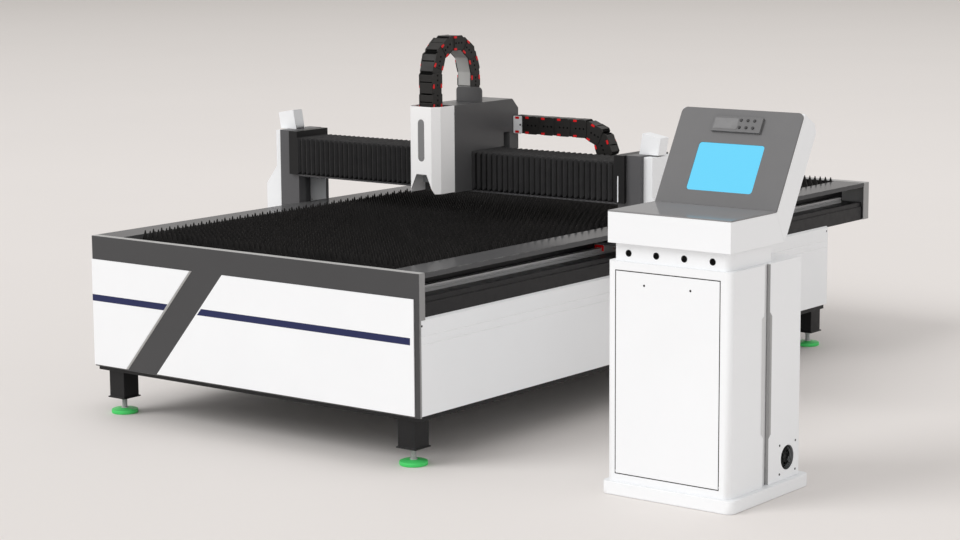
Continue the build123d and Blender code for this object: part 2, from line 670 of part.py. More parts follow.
def long_rail():
    half = RAIL_WIDTH / 2
    waist = half - RAIL_GROOVE
    low = BEAM_LEDGE_Z + RAIL_HEIGHT / 3
    high = BEAM_LEDGE_Z + 2 * RAIL_HEIGHT / 3
    profile = [
        (RAIL_X - half, BEAM_LEDGE_Z), (RAIL_X + half, BEAM_LEDGE_Z), (RAIL_X + half, low),
        (RAIL_X + waist, (low + high) / 2), (RAIL_X + half, high), (RAIL_X + half, RAIL_TOP_Z),
        (RAIL_X - half, RAIL_TOP_Z), (RAIL_X - half, high), (RAIL_X - waist, (low + high) / 2), (RAIL_X - half, low),
    ]
    return prism_y(profile, FASCIA_DEPTH, BEAM_END_Y - RAIL_END_GAP)


def long_rack():
    half = RACK_WIDTH / 2
    return box(RACK_X - half, RACK_X + half, FASCIA_DEPTH, BEAM_END_Y, RACK_BOTTOM_Z, FLANGE_UNDER_Z)


# Saw-tooth slats on their support angles, above the slag tray
def slat_places():
    first = FASCIA_DEPTH + BED_FRONT_GAP
    last = BEAM_END_Y - BED_FRONT_GAP
    return [first + (last - first) * index / (SLAT_COUNT - 1) for index in range(SLAT_COUNT)]


def slats():
    half = FLANGE_INNER_X - SLAT_END_GAP
    pitch = 2 * half / SLAT_TEETH
    outline = [(-half, SLAT_BOTTOM_Z), (half, SLAT_BOTTOM_Z), (half, SLAT_TIP_Z - TOOTH_DEPTH)]
    for tooth in range(SLAT_TEETH):
        outline.append((half - (tooth + 1 / 2) * pitch, SLAT_TIP_Z))
        outline.append((half - (tooth + 1) * pitch, SLAT_TIP_Z - TOOTH_DEPTH))
    slat = prism_y(outline, 0, SLAT_THICKNESS)
    return [Pos(0, y, 0) * slat for y in slat_places()]


def slat_supports():
    x = BEAM_INNER_X
    bottom = SLAT_BOTTOM_Z - SUPPORT_SHEET
    angle = box(x - SUPPORT_LEG, x, FASCIA_DEPTH, BEAM_END_Y, bottom, SLAT_BOTTOM_Z)
    angle += box(x - SUPPORT_SHEET, x, FASCIA_DEPTH, BEAM_END_Y, bottom - SUPPORT_LEG, bottom)
    half = CENTRE_SUPPORT_WIDTH / 2
    centre = box(-half, half, FASCIA_WALL, BEAM_END_Y, SLAT_BOTTOM_Z - CENTRE_SUPPORT_HEIGHT, SLAT_BOTTOM_Z)
    return [angle, left_copy(angle), centre]


def slag_tray():
    x = BEAM_INNER_X - TRAY_SIDE_GAP
    front = FASCIA_DEPTH
    rear = CABINET_LENGTH - PANEL_THICKNESS
    tray = box(-x, x, front, rear, TRAY_RAIL_TOP, TRAY_RAIL_TOP + TRAY_DEPTH)
    tray -= box(
        TRAY_SHEET - x, x - TRAY_SHEET, front + TRAY_SHEET, rear - TRAY_SHEET,
        TRAY_RAIL_TOP + TRAY_SHEET, TABLE_TOP,
    )
    pan_z = PANEL_TOP + CUT_OVERRUN
    pan = box(-BEAM_INNER_X, BEAM_INNER_X, CABINET_LENGTH, BEAM_END_Y, pan_z, pan_z + TRAY_SHEET)
    return [tray, pan]


# Gantry post: closed column above, open bracket below, with the truck plate and its arms
def block_places():
    half = TRUCK_LENGTH / 2 - BLOCK_LENGTH / 2 - BLOCK_SKIRT_GAP
    return [POST_MIDDLE_Y - half, POST_MIDDLE_Y + half]


def gantry_post():
    profile = [
        (POST_FOOT_INNER_X, POST_BOTTOM), (POST_OUTER_X, POST_BOTTOM), (POST_OUTER_X, POST_TOP),
        (POST_INNER_X, POST_TOP), (POST_INNER_X, POST_SHOULDER), (POST_FOOT_INNER_X, POST_SHOULDER),
    ]
    post = prism_y(profile, POST_FRONT_Y, POST_REAR_Y)
    post -= box(
        POST_FOOT_INNER_X - CUT_OVERRUN, POST_OUTER_X - POST_WEB, POST_FRONT_Y + POST_COLUMN,
        POST_REAR_Y - POST_REAR_FLANGE, POST_BOTTOM - CUT_OVERRUN, POST_SHOULDER - POST_POCKET_TOP_GAP,
    )
    truck_front = POST_MIDDLE_Y - TRUCK_LENGTH / 2
    truck_x = POST_FOOT_INNER_X + TRUCK_PLATE
    post += box(POST_FOOT_INNER_X, truck_x, truck_front, truck_front + TRUCK_LENGTH, POST_BOTTOM, TRUCK_TOP)
    arm_x = RAIL_X - BLOCK_WIDTH / 2
    for y in block_places():
        half = BLOCK_LENGTH / 2
        post += box(arm_x, POST_FOOT_INNER_X, y - half, y + half, BLOCK_TOP_Z, BLOCK_TOP_Z + ARM_THICKNESS)
    start = (POST_FOOT_INNER_X - CUT_OVERRUN, POST_MIDDLE_Y, PINION_Z)
    post -= hole_at(start, (1, 0, 0), SHAFT_RADIUS + SHAFT_HOLE_GAP, TRUCK_PLATE + 2 * CUT_OVERRUN)
    window = MOTOR_SIZE / 2 + MOTOR_WINDOW_GAP
    return post - box(
        POST_OUTER_X - POST_WEB - CUT_OVERRUN, POST_OUTER_X + CUT_OVERRUN, POST_MIDDLE_Y - window,
        POST_MIDDLE_Y + window, POST_BOTTOM - CUT_OVERRUN, PINION_Z + window,
    )


def guide_blocks():
    half_width = BLOCK_WIDTH / 2
    half_groove = RAIL_WIDTH / 2 + SLIDE_CLEARANCE
    roof = RAIL_TOP_Z + SLIDE_CLEARANCE
    skirt = BEAM_LEDGE_Z + BLOCK_SKIRT_GAP
    profile = [
        (RAIL_X - half_width, skirt), (RAIL_X - half_groove, skirt), (RAIL_X - half_groove, roof),
        (RAIL_X + half_groove, roof), (RAIL_X + half_groove, skirt), (RAIL_X + half_width, skirt),
        (RAIL_X + half_width, BLOCK_TOP_Z), (RAIL_X - half_width, BLOCK_TOP_Z),
    ]
    right = [prism_y(profile, y - BLOCK_LENGTH / 2, y + BLOCK_LENGTH / 2) for y in block_places()]
    return right + [left_copy(block) for block in right]


def square_motor(size, length):
    body = Box(size, size, length, align=(Align.CENTER, Align.CENTER, Align.MIN))
    return chamfer(body.edges().filter_by(Axis.Z), MOTOR_CHAMFER)


def long_drive():
    start = (POST_FOOT_INNER_X + TRUCK_PLATE, POST_MIDDLE_Y, PINION_Z)
    outward = Plane(origin=start, x_dir=(0, 1, 0), z_dir=(1, 0, 0))
    gearbox = Box(GEARBOX_SIZE, GEARBOX_SIZE, GEARBOX_LENGTH, align=(Align.CENTER, Align.CENTER, Align.MIN))
    drive = gearbox + Pos(0, 0, GEARBOX_LENGTH) * square_motor(MOTOR_SIZE, MOTOR_LENGTH)
    drive -= hole(SHAFT_RADIUS + RUNNING_CLEARANCE, SHAFT_SEAT)
    return outward * drive


def toothed_wheel(radius, width):
    root = radius - PINION_TOOTH_DEPTH
    points = []
    for tooth in range(PINION_TEETH):
        for share, reach in zip(TOOTH_SHARES, (root, radius, radius, root)):
            turn = 2 * math.pi * (tooth + share) / PINION_TEETH
            points.append((reach * math.cos(turn), reach * math.sin(turn), 0))
    return prism(points, (0, 0, 1), width)


def long_pinion():
    start = (RACK_X - PINION_WIDTH / 2, POST_MIDDLE_Y, PINION_Z)
    seat_x = POST_FOOT_INNER_X + TRUCK_PLATE + SHAFT_SEAT
    wheel = toothed_wheel(PINION_RADIUS, PINION_WIDTH)
    shaft = rod((0, 0, 0), (0, 0, 1), SHAFT_RADIUS, seat_x - start[0])
    return Plane(origin=start, x_dir=(0, 1, 0), z_dir=(1, 0, 0)) * (wheel + shaft)


# White folded cover over the drive, and the hood that leans outward on top of the post
def cover_outline(sheet):
    return [
        (POST_OUTER_X, COVER_TOP - sheet), (COVER_UPPER_X - sheet, COVER_TOP - sheet),
        (COVER_UPPER_X - sheet, COVER_FLARE_TOP), (COVER_OUTER_X - sheet, COVER_FLARE_BOTTOM),
        (COVER_OUTER_X - sheet, COVER_BOTTOM), (POST_OUTER_X, COVER_BOTTOM),
    ]


def post_cover():
    front = POST_FRONT_Y + COVER_SET_BACK
    cover = prism_y(cover_outline(0), front, front + COVER_DEPTH)
    return cover - prism_y(cover_outline(SHEET), front + SHEET, front + COVER_DEPTH - SHEET)


def hood_outline(sheet):
    lean = math.radians(HOOD_LEAN_DEGREES)
    top_inner = (HOOD_INNER_X + HOOD_HEIGHT * math.tan(lean), POST_TOP + HOOD_HEIGHT - sheet)
    reach = HOOD_WIDTH * math.cos(lean) - sheet
    outer_top_z = top_inner[1] - reach * math.tan(lean)
    outer_base_x = top_inner[0] + reach - (outer_top_z - POST_TOP) * math.tan(lean)
    return [
        (HOOD_INNER_X, POST_TOP), (outer_base_x, POST_TOP), (top_inner[0] + reach, outer_top_z), top_inner,
    ]


def end_hood():
    front = POST_FRONT_Y + HOOD_FRONT_GAP
    hood = prism_y(hood_outline(0), front, front + HOOD_DEPTH)
    return hood - prism_y(hood_outline(SHEET), front + SHEET, front + HOOD_DEPTH - SHEET)


# Cross beam with its rails and rack, the bellows that hide it and their end frames
def gantry_beam():
    rear = BEAM_FRONT_Y + BEAM_DEPTH
    wall = BEAM_TUBE_WALL
    beam = box(-POST_INNER_X, POST_INNER_X, BEAM_FRONT_Y, rear, BEAM_BOTTOM_Z, BEAM_TOP_Z)
    return beam - box(
        -POST_INNER_X, POST_INNER_X, BEAM_FRONT_Y + wall, rear - wall, BEAM_BOTTOM_Z + wall, BEAM_TOP_Z - wall
    )


def cross_rails():
    x = POST_INNER_X - CROSS_RAIL_END_GAP
    half = CROSS_RAIL_WIDTH / 2
    return [
        box(-x, x, CROSS_RAIL_FRONT_Y, BEAM_FRONT_Y, z - half, z + half)
        for z in (CROSS_RAIL_LOW_Z, CROSS_RAIL_HIGH_Z)
    ]


def cross_rack():
    x = POST_INNER_X - CROSS_RAIL_END_GAP
    rear = CROSS_RACK_FRONT_Y + CROSS_RACK_DEPTH
    return box(-x, x, CROSS_RACK_FRONT_Y, rear, BEAM_TOP_Z, BEAM_TOP_Z + CROSS_RACK_HEIGHT)


def pleat_outline(x0, x1, low, high):
    pleats = round((x1 - x0) / BELLOWS_PITCH)
    half_pleat = (x1 - x0) / pleats / 2
    places = [(x0 + index * half_pleat, BELLOWS_PLEAT * (index % 2)) for index in range(2 * pleats + 1)]
    return [(x, low + inset) for x, inset in places] + [(x, high - inset) for x, inset in reversed(places)]


def bellows(x0, x1):
    upright = prism_y(pleat_outline(x0, x1, BELLOWS_BOTTOM_Z, BELLOWS_TOP_Z), BELLOWS_FRONT_Y, BELLOWS_REAR_Y)
    level = prism_z(pleat_outline(x0, x1, BELLOWS_FRONT_Y, BELLOWS_REAR_Y), BELLOWS_BOTTOM_Z, BELLOWS_TOP_Z)
    inner = BELLOWS_PLEAT + BELLOWS_WALL
    return (upright & level) - box(
        x0 - CUT_OVERRUN, x1 + CUT_OVERRUN, BELLOWS_FRONT_Y + inner, BELLOWS_REAR_Y - inner,
        BELLOWS_BOTTOM_Z + inner, BELLOWS_TOP_Z - inner,
    )


def bellows_frame():
    frame = box(FRAME_X, POST_INNER_X, BELLOWS_FRONT_Y, BELLOWS_REAR_Y, POST_SHOULDER, POST_TOP)
    inner = BELLOWS_PLEAT + BELLOWS_WALL
    return frame - box(
        FRAME_X - CUT_OVERRUN, POST_INNER_X + CUT_OVERRUN, BELLOWS_FRONT_Y + FRAME_WALL, BELLOWS_REAR_Y - inner,
        POST_SHOULDER + inner, POST_TOP - 2 * FRAME_WALL,
    )


def guide_strip():
    top = POST_SHOULDER - SLIDE_CLEARANCE
    x = POST_FOOT_INNER_X
    return box(-x, x, POST_FRONT_Y, POST_FRONT_Y + STRIP_DEPTH, top - STRIP_HEIGHT, top)


# Carriage: hollow saddle over the beam, the plate that runs on the cross rails and its drive
def saddle_outline(wall):
    return [
        (SADDLE_FRONT_Y + wall, SADDLE_LEG_BOTTOM + wall), (SADDLE_LEG_REAR_Y - wall, SADDLE_LEG_BOTTOM + wall),
        (SADDLE_LEG_REAR_Y - wall, SADDLE_ARCH_Z + wall), (SADDLE_NOTCH_Y - wall, SADDLE_ARCH_Z + wall),
        (SADDLE_NOTCH_Y - wall, SADDLE_NOTCH_Z + wall), (SADDLE_REAR_LEG_Y + wall, SADDLE_NOTCH_Z + wall),
        (SADDLE_REAR_LEG_Y + wall, SADDLE_REAR_LEG_BOTTOM + wall), (SADDLE_REAR_Y - wall, SADDLE_REAR_LEG_BOTTOM + wall),
        (SADDLE_REAR_Y - wall, SADDLE_TOP - SADDLE_CHAMFER), (SADDLE_REAR_Y - SADDLE_CHAMFER, SADDLE_TOP - wall),
        (SADDLE_FRONT_Y + wall, SADDLE_TOP - wall),
    ]


def carriage_saddle():
    wall = SADDLE_WALL
    saddle = prism_x(saddle_outline(0), CARRIAGE_LEFT_X, CARRIAGE_RIGHT_X)
    saddle -= prism_x(saddle_outline(wall), CARRIAGE_LEFT_X + wall, CARRIAGE_RIGHT_X - wall)
    half = CROSS_GEARBOX_SIZE / 2 + SHAFT_HOLE_GAP
    saddle -= box(
        CARRIAGE_X - half, CARRIAGE_X + half, CROSS_PINION_Y - half, CROSS_PINION_Y + half,
        SADDLE_ARCH_Z - CUT_OVERRUN, SADDLE_ARCH_Z + CUT_OVERRUN,
    )
    slot = NUT_BLOCK_WIDTH / 2 + NUT_SLOT_GAP
    saddle -= box(
        CARRIAGE_X - slot, CARRIAGE_X + slot, SADDLE_FRONT_Y - CUT_OVERRUN, SADDLE_FRONT_Y + CUT_OVERRUN,
        NUT_Z - LIFT_DOWN - NUT_SLOT_GAP, NUT_Z + NUT_BLOCK_HEIGHT + LIFT_UP + NUT_SLOT_GAP,
    )
    inner = BELLOWS_PLEAT + BELLOWS_WALL
    for x in (CARRIAGE_LEFT_X, CARRIAGE_RIGHT_X - wall):
        ring = box(x, x + wall, SADDLE_LEG_REAR_Y, BELLOWS_REAR_Y, BELLOWS_BOTTOM_Z, SADDLE_ARCH_Z)
        ring -= box(
            x - wall, x + 2 * wall, BELLOWS_FRONT_Y + inner, BELLOWS_REAR_Y - inner,
            BELLOWS_BOTTOM_Z + inner, BELLOWS_TOP_Z - inner,
        )
        saddle += ring
    return saddle


def carriage_plate():
    x0 = CARRIAGE_LEFT_X + CARRIAGE_SIDE_GAP
    x1 = CARRIAGE_RIGHT_X - CARRIAGE_SIDE_GAP
    bottom = BELLOWS_BOTTOM_Z + 2 * BELLOWS_PLEAT
    rear = CARRIAGE_PLATE_FRONT_Y + CARRIAGE_PLATE
    plate = box(x0, x1, CARRIAGE_PLATE_FRONT_Y, rear, bottom, SADDLE_ARCH_Z)
    plate += box(
        CARRIAGE_X - LUG_WIDTH, CARRIAGE_X + LUG_WIDTH, SADDLE_LEG_REAR_Y, CARRIAGE_PLATE_FRONT_Y,
        bottom, SADDLE_ARCH_Z,
    )
    shelf_rear = CROSS_PINION_Y + CROSS_GEARBOX_SIZE / 2
    plate += box(x0, x1, rear, shelf_rear, SADDLE_ARCH_Z - CARRIAGE_SHELF, SADDLE_ARCH_Z)
    start = (CARRIAGE_X, CROSS_PINION_Y, SADDLE_ARCH_Z - CARRIAGE_SHELF - CUT_OVERRUN)
    return plate - hole_at(
        start, (0, 0, 1), CROSS_SHAFT_RADIUS + SHAFT_HOLE_GAP, CARRIAGE_SHELF + 2 * CUT_OVERRUN
    )


def cross_blocks():
    half = CROSS_BLOCK_WIDTH / 2
    groove = CROSS_RAIL_WIDTH / 2 + SLIDE_CLEARANCE
    front = CARRIAGE_PLATE_FRONT_Y + CARRIAGE_PLATE
    floor_y = CROSS_RAIL_FRONT_Y - SLIDE_CLEARANCE
    skirt_y = BEAM_FRONT_Y - CROSS_BLOCK_SKIRT_GAP
    reach = CARRIAGE_WIDTH / 2 - CARRIAGE_SIDE_GAP - CROSS_BLOCK_LENGTH / 2
    blocks = []
    for z in (CROSS_RAIL_LOW_Z, CROSS_RAIL_HIGH_Z):
        profile = [
            (front, z - half), (skirt_y, z - half), (skirt_y, z - groove), (floor_y, z - groove),
            (floor_y, z + groove), (skirt_y, z + groove), (skirt_y, z + half), (front, z + half),
        ]
        for x in (CARRIAGE_X - reach, CARRIAGE_X + reach):
            blocks.append(prism_x(profile, x - CROSS_BLOCK_LENGTH / 2, x + CROSS_BLOCK_LENGTH / 2))
    return blocks


def cross_motor():
    base = Box(
        CROSS_GEARBOX_SIZE, CROSS_GEARBOX_SIZE, CROSS_GEARBOX_LENGTH, align=(Align.CENTER, Align.CENTER, Align.MIN)
    )
    drive = base + Pos(0, 0, CROSS_GEARBOX_LENGTH) * square_motor(CROSS_GEARBOX_SIZE, CROSS_MOTOR_LENGTH)
    drive -= hole(CROSS_SHAFT_RADIUS + RUNNING_CLEARANCE, SHAFT_SEAT)
    return Pos(CARRIAGE_X, CROSS_PINION_Y, SADDLE_ARCH_Z) * drive


def cross_pinion():
    base_z = BEAM_TOP_Z + SLIDE_CLEARANCE
    wheel = toothed_wheel(CROSS_PINION_RADIUS, CROSS_PINION_WIDTH)
    shaft = rod((0, 0, 0), (0, 0, 1), CROSS_SHAFT_RADIUS, SADDLE_ARCH_Z + SHAFT_SEAT - base_z)
    return Pos(CARRIAGE_X, CROSS_PINION_Y, base_z) * (wheel + shaft)


def chain_anchor():
    x0 = CARRIAGE_LEFT_X + ANCHOR_LEFT_GAP
    rear = ANCHOR_FRONT_Y + ANCHOR_DEPTH
    anchor = box(x0, CARRIAGE_RIGHT_X, ANCHOR_FRONT_Y, rear, SADDLE_TOP, SADDLE_TOP + ANCHOR_HEIGHT)
    corner_edges = anchor.edges().filter_by(Axis.Y).sort_by(Axis.Z)[-2:]
    return fillet(corner_edges, ANCHOR_ROUND)


def chain_bracket():
    x1 = RUN_START_X
    rear = RUN_FRONT_Y + RUN_WIDTH
    inner_x = CARRIAGE_RIGHT_X + BRACKET_SHEET
    profile = [
        (CARRIAGE_RIGHT_X, RUN_FRONT_Y), (x1, RUN_FRONT_Y), (x1, RUN_FRONT_Y + BRACKET_SHEET),
        (inner_x, RUN_FRONT_Y + BRACKET_SHEET), (inner_x, rear - BRACKET_SHEET), (x1, rear - BRACKET_SHEET),
        (x1, rear), (CARRIAGE_RIGHT_X, rear),
    ]
    return prism_z(profile, RUN_BOTTOM_Z, RUN_BOTTOM_Z + RUN_THICKNESS)


# Torch head: folded white cover, lift plate with nut, torch, and the screw drive inside the saddle
def torch_plan(sheet):
    left = CARRIAGE_LEFT_X + sheet
    right = CARRIAGE_RIGHT_X - sheet
    rear = SADDLE_FRONT_Y - TORCH_GAP
    front = TORCH_FRONT_Y + sheet
    bend = TORCH_FRONT_Y + TORCH_CHAMFER_Y + sheet / 2
    corner = TORCH_CHAMFER_X - sheet / 2
    return [
        (left, rear), (left, bend), (left + corner, front), (right - corner, front), (right, bend), (right, rear),
    ]


def torch_housing():
    housing = prism_z(torch_plan(0), TORCH_BOTTOM, SADDLE_TOP)
    housing -= prism_z(torch_plan(SHEET), TORCH_BOTTOM - CUT_OVERRUN, SADDLE_TOP + CUT_OVERRUN)
    rear = SADDLE_FRONT_Y - TORCH_GAP
    inner_left = CARRIAGE_LEFT_X + SHEET
    housing -= box(
        inner_left, CARRIAGE_RIGHT_X - SHEET, rear - SHEET, rear + CUT_OVERRUN,
        TORCH_BOTTOM - CUT_OVERRUN, SADDLE_TOP + CUT_OVERRUN,
    )
    outline = SlotOverall(TORCH_SLOT_HEIGHT, TORCH_SLOT_WIDTH, rotation=90)
    slot = extrude(outline, amount=TORCH_SLOT_DEPTH + CUT_OVERRUN)
    middle_z = (TORCH_SLOT_TOP + TORCH_SLOT_BOTTOM) / 2
    face = Plane(origin=(CARRIAGE_X, TORCH_FRONT_Y + TORCH_SLOT_DEPTH, middle_z), x_dir=(1, 0, 0), z_dir=(0, -1, 0))
    housing -= face * slot
    half = MOUTH_TOP_WIDTH / 2
    low_z = TORCH_BOTTOM - CUT_OVERRUN
    flare = half + (MOUTH_TOP_Z - low_z) * MOUTH_FLARE_SHARE
    mouth = [
        (CARRIAGE_X - half, MOUTH_TOP_Z), (CARRIAGE_X + half, MOUTH_TOP_Z), (CARRIAGE_X + flare, low_z),
        (CARRIAGE_X - flare, low_z),
    ]
    return housing - prism_y(mouth, TORCH_FRONT_Y - CUT_OVERRUN, TORCH_FRONT_Y + TORCH_CHAMFER_Y)


def lift_plate():
    left = CARRIAGE_LEFT_X + SHEET
    plate = box(
        left, CARRIAGE_RIGHT_X - SHEET, LIFT_PLATE_Y, LIFT_PLATE_Y + LIFT_PLATE, LIFT_PLATE_BOTTOM, LIFT_PLATE_TOP
    )
    half = NUT_BLOCK_WIDTH / 2
    rear = SCREW_Y + half
    nut = box(CARRIAGE_X - half, CARRIAGE_X + half, LIFT_PLATE_Y, rear, NUT_Z, NUT_Z + NUT_BLOCK_HEIGHT)
    bore = SCREW_RADIUS + RUNNING_CLEARANCE
    nut -= hole_at((CARRIAGE_X, SCREW_Y, NUT_Z - CUT_OVERRUN), (0, 0, 1), bore, NUT_BLOCK_HEIGHT + 2 * CUT_OVERRUN)
    clamp_z = TORCH_TIP_Z + TORCH_BODY_HEIGHT - 2 * TORCH_CLAMP_HEIGHT
    half_clamp = TORCH_RADIUS + LIFT_PLATE
    clamp = box(
        CARRIAGE_X - half_clamp, CARRIAGE_X + half_clamp, TORCH_Y - half_clamp, LIFT_PLATE_Y,
        clamp_z, clamp_z + TORCH_CLAMP_HEIGHT,
    )
    clamp -= pin_at((CARRIAGE_X, TORCH_Y, clamp_z - CUT_OVERRUN), (0, 0, 1), TORCH_RADIUS, TORCH_CLAMP_HEIGHT * 2)
    return plate + nut + clamp


def torch():
    tip = pin(TORCH_TIP_RADIUS, TORCH_TIP_HEIGHT)
    shield = Pos(0, 0, TORCH_TIP_HEIGHT) * pin(TORCH_SHIELD_RADIUS, TORCH_SHIELD_HEIGHT)
    handle_z = TORCH_TIP_HEIGHT + TORCH_SHIELD_HEIGHT
    handle = Pos(0, 0, handle_z) * pin(TORCH_RADIUS, TORCH_BODY_HEIGHT - handle_z)
    return Pos(CARRIAGE_X, TORCH_Y, TORCH_TIP_Z) * (tip + shield + handle)


def lift_drive():
    half = LUG_WIDTH / 2
    rear = SADDLE_LEG_REAR_Y - SADDLE_WALL
    top = SCREW_LUG_TOP + SCREW_LUG
    profile = [
        (rear, SCREW_LUG_BOTTOM), (rear, top), (SCREW_Y - half, top), (SCREW_Y - half, SCREW_LUG_TOP),
        (rear - LUG_BACK, SCREW_LUG_TOP), (rear - LUG_BACK, SCREW_LUG_BOTTOM + SCREW_LUG),
        (SCREW_Y - half, SCREW_LUG_BOTTOM + SCREW_LUG), (SCREW_Y - half, SCREW_LUG_BOTTOM),
    ]
    bracket = prism_x(profile, CARRIAGE_X - half, CARRIAGE_X + half)
    bore = SCREW_RADIUS + RUNNING_CLEARANCE
    bracket -= hole_at((CARRIAGE_X, SCREW_Y, SCREW_LUG_BOTTOM - CUT_OVERRUN), (0, 0, 1), bore, SCREW_SPAN * 2)
    motor = Pos(CARRIAGE_X, SCREW_Y, top) * square_motor(LIFT_MOTOR_SIZE, LIFT_MOTOR_HEIGHT)
    return [bracket, motor]


def lift_screw():
    length = SCREW_LUG_TOP + SCREW_LUG - SLIDE_CLEARANCE - SCREW_LUG_BOTTOM
    return rod((CARRIAGE_X, SCREW_Y, SCREW_LUG_BOTTOM), (0, 0, 1), SCREW_RADIUS, length)


# Drag chains: hollow links, each waisted at its joint so the chain reads as separate links
def chain_link(length, thickness, width):
    waist = LINK_WAIST
    half = thickness / 2
    outline = [
        (0, -half + waist), (waist, -half), (length - waist, -half), (length, -half + waist),
        (length, half - waist), (length - waist, half), (waist, half), (0, half - waist),
    ]
    link = prism_z(outline, 0, width)
    hollow = half - LINK_WALL
    return link - box(-CUT_OVERRUN, length + CUT_OVERRUN, -hollow, hollow, LINK_WALL, width - LINK_WALL)


def chain(path, thickness, width, side):
    links = []
    for start, end in zip(path, path[1:]):
        along = Vector(*end) - Vector(*start)
        place = Plane(origin=start, x_dir=along, z_dir=side)
        links.append(place * chain_link(along.length, thickness, width))
    return links


def arc_points(centre, radius, first_degrees, sweep_degrees, count):
    points = []
    for index in range(count + 1):
        turn = math.radians(first_degrees + sweep_degrees * index / count)
        points.append((centre[0] + radius * math.cos(turn), centre[1] + radius * math.sin(turn)))
    return points


def arch_chain():
    front = ARCH_FRONT_Y + ARCH_THICKNESS / 2
    radius = ARCH_SPAN / 2
    arc = arc_points((front + radius, ARCH_LEG_TOP), radius, 180, -180, ARCH_LINKS)
    leg_middle = (LIFT_PLATE_TOP + ARCH_LEG_TOP) / 2
    rear = front + ARCH_SPAN
    outline = [(front, LIFT_PLATE_TOP), (front, leg_middle)] + arc
    outline += [(rear, (SADDLE_TOP + ARCH_LEG_TOP) / 2), (rear, SADDLE_TOP)]
    path = [(ARCH_LEFT_X, y, z) for y, z in outline]
    return chain(path, ARCH_THICKNESS, ARCH_WIDTH, (1, 0, 0))


def run_chain():
    middle_z = RUN_BOTTOM_Z + RUN_THICKNESS / 2
    low_z = middle_z - 2 * RUN_BEND_RADIUS
    upper = round(RUN_UPPER_LENGTH / RUN_LINK)
    lower = round(RUN_LOWER_LENGTH / RUN_LINK)
    outline = [(RUN_START_X + RUN_UPPER_LENGTH * index / upper, middle_z) for index in range(upper)]
    outline += arc_points((RUN_BEND_X, middle_z - RUN_BEND_RADIUS), RUN_BEND_RADIUS, 90, -180, RUN_BEND_LINKS)
    outline += [(RUN_BEND_X - RUN_LOWER_LENGTH * (index + 1) / lower, low_z) for index in range(lower)]
    path = [(x, RUN_FRONT_Y + RUN_WIDTH, z) for x, z in outline]
    return chain(path, RUN_THICKNESS, RUN_WIDTH, (0, -1, 0))


def chain_tray():
    sheet = CHANNEL_SHEET
    floor_top = RUN_BOTTOM_Z - 2 * RUN_BEND_RADIUS - SLIDE_CLEARANCE
    floor = floor_top - sheet
    y0 = RUN_FRONT_Y - CHANNEL_ROOM
    y1 = RUN_FRONT_Y + RUN_WIDTH + CHANNEL_ROOM
    lip = floor + CHANNEL_LIP
    profile = [
        (y0 - sheet, floor), (y1 + sheet, floor), (y1 + sheet, lip), (y1, lip),
        (y1, floor_top), (y0, floor_top), (y0, lip), (y0 - sheet, lip),
    ]
    tray = prism_x(profile, -CHANNEL_END_X, CHANNEL_END_X)
    for x0 in (-CHANNEL_END_X, CHANNEL_END_X - CHANNEL_ARM):
        tray += box(x0, x0 + CHANNEL_ARM, POST_REAR_Y, y0 - sheet, floor, lip)
    return tray


# Console cabinet on its plinth
def rounded_box(x0, x1, y0, y1, z0, z1, radius, front_only):
    body = box(x0, x1, y0, y1, z0, z1)
    edges = body.edges().filter_by(Axis.Z).sort_by(Axis.Y)
    return fillet(edges[:2] if front_only else edges, radius)


def console_plinth():
    half = PLINTH_WIDTH / 2
    rear = PLINTH_FRONT_Y + PLINTH_DEPTH
    return rounded_box(
        CONSOLE_X - half, CONSOLE_X + half, PLINTH_FRONT_Y, rear, 0, PLINTH_HEIGHT, PLINTH_ROUND, False
    )


def console_cabinet():
    cabinet = rounded_box(
        CONSOLE_LEFT_X, CONSOLE_RIGHT_X, CONSOLE_FRONT_Y, SEAM_Y, PLINTH_HEIGHT, CONSOLE_TOP, CONSOLE_ROUND, True
    )
    cabinet -= box(
        CONSOLE_LEFT_X + SHEET, CONSOLE_RIGHT_X - SHEET, CONSOLE_FRONT_Y + CONSOLE_ROUND, SEAM_Y - SHEET,
        PLINTH_HEIGHT + SHEET, CONSOLE_TOP - SHEET,
    )
    door_right = DOOR_LEFT_X + DOOR_WIDTH
    door_top = DOOR_BOTTOM + DOOR_HEIGHT
    cabinet -= box(
        DOOR_LEFT_X - DOOR_GAP, door_right + DOOR_GAP, CONSOLE_FRONT_Y - CUT_OVERRUN,
        CONSOLE_FRONT_Y + CONSOLE_ROUND + CUT_OVERRUN, DOOR_BOTTOM - DOOR_GAP, door_top + DOOR_GAP,
    )
    cabinet -= hole_at(hinge_start(), (1, 0, 0), HINGE_PIN_RADIUS + RUNNING_CLEARANCE, hinge_length())
    grip = [
        (SEAM_Y - GRIP_DEPTH, GRIP_BOTTOM + GRIP_CUT), (SEAM_Y, GRIP_BOTTOM), (SEAM_Y, GRIP_TOP),
        (SEAM_Y - GRIP_DEPTH, GRIP_TOP - GRIP_CUT),
    ]
    for x in (CONSOLE_LEFT_X, CONSOLE_RIGHT_X):
        cabinet -= prism_x(grip, x - GRIP_CUT, x + GRIP_CUT)
    return cabinet


def hinge_start():
    x = DOOR_LEFT_X - HINGE_PIN_LENGTH
    return (x, CONSOLE_FRONT_Y + HINGE_INSET_Y, DOOR_BOTTOM + HINGE_INSET_Z)


def hinge_length():
    return DOOR_WIDTH + 2 * HINGE_PIN_LENGTH


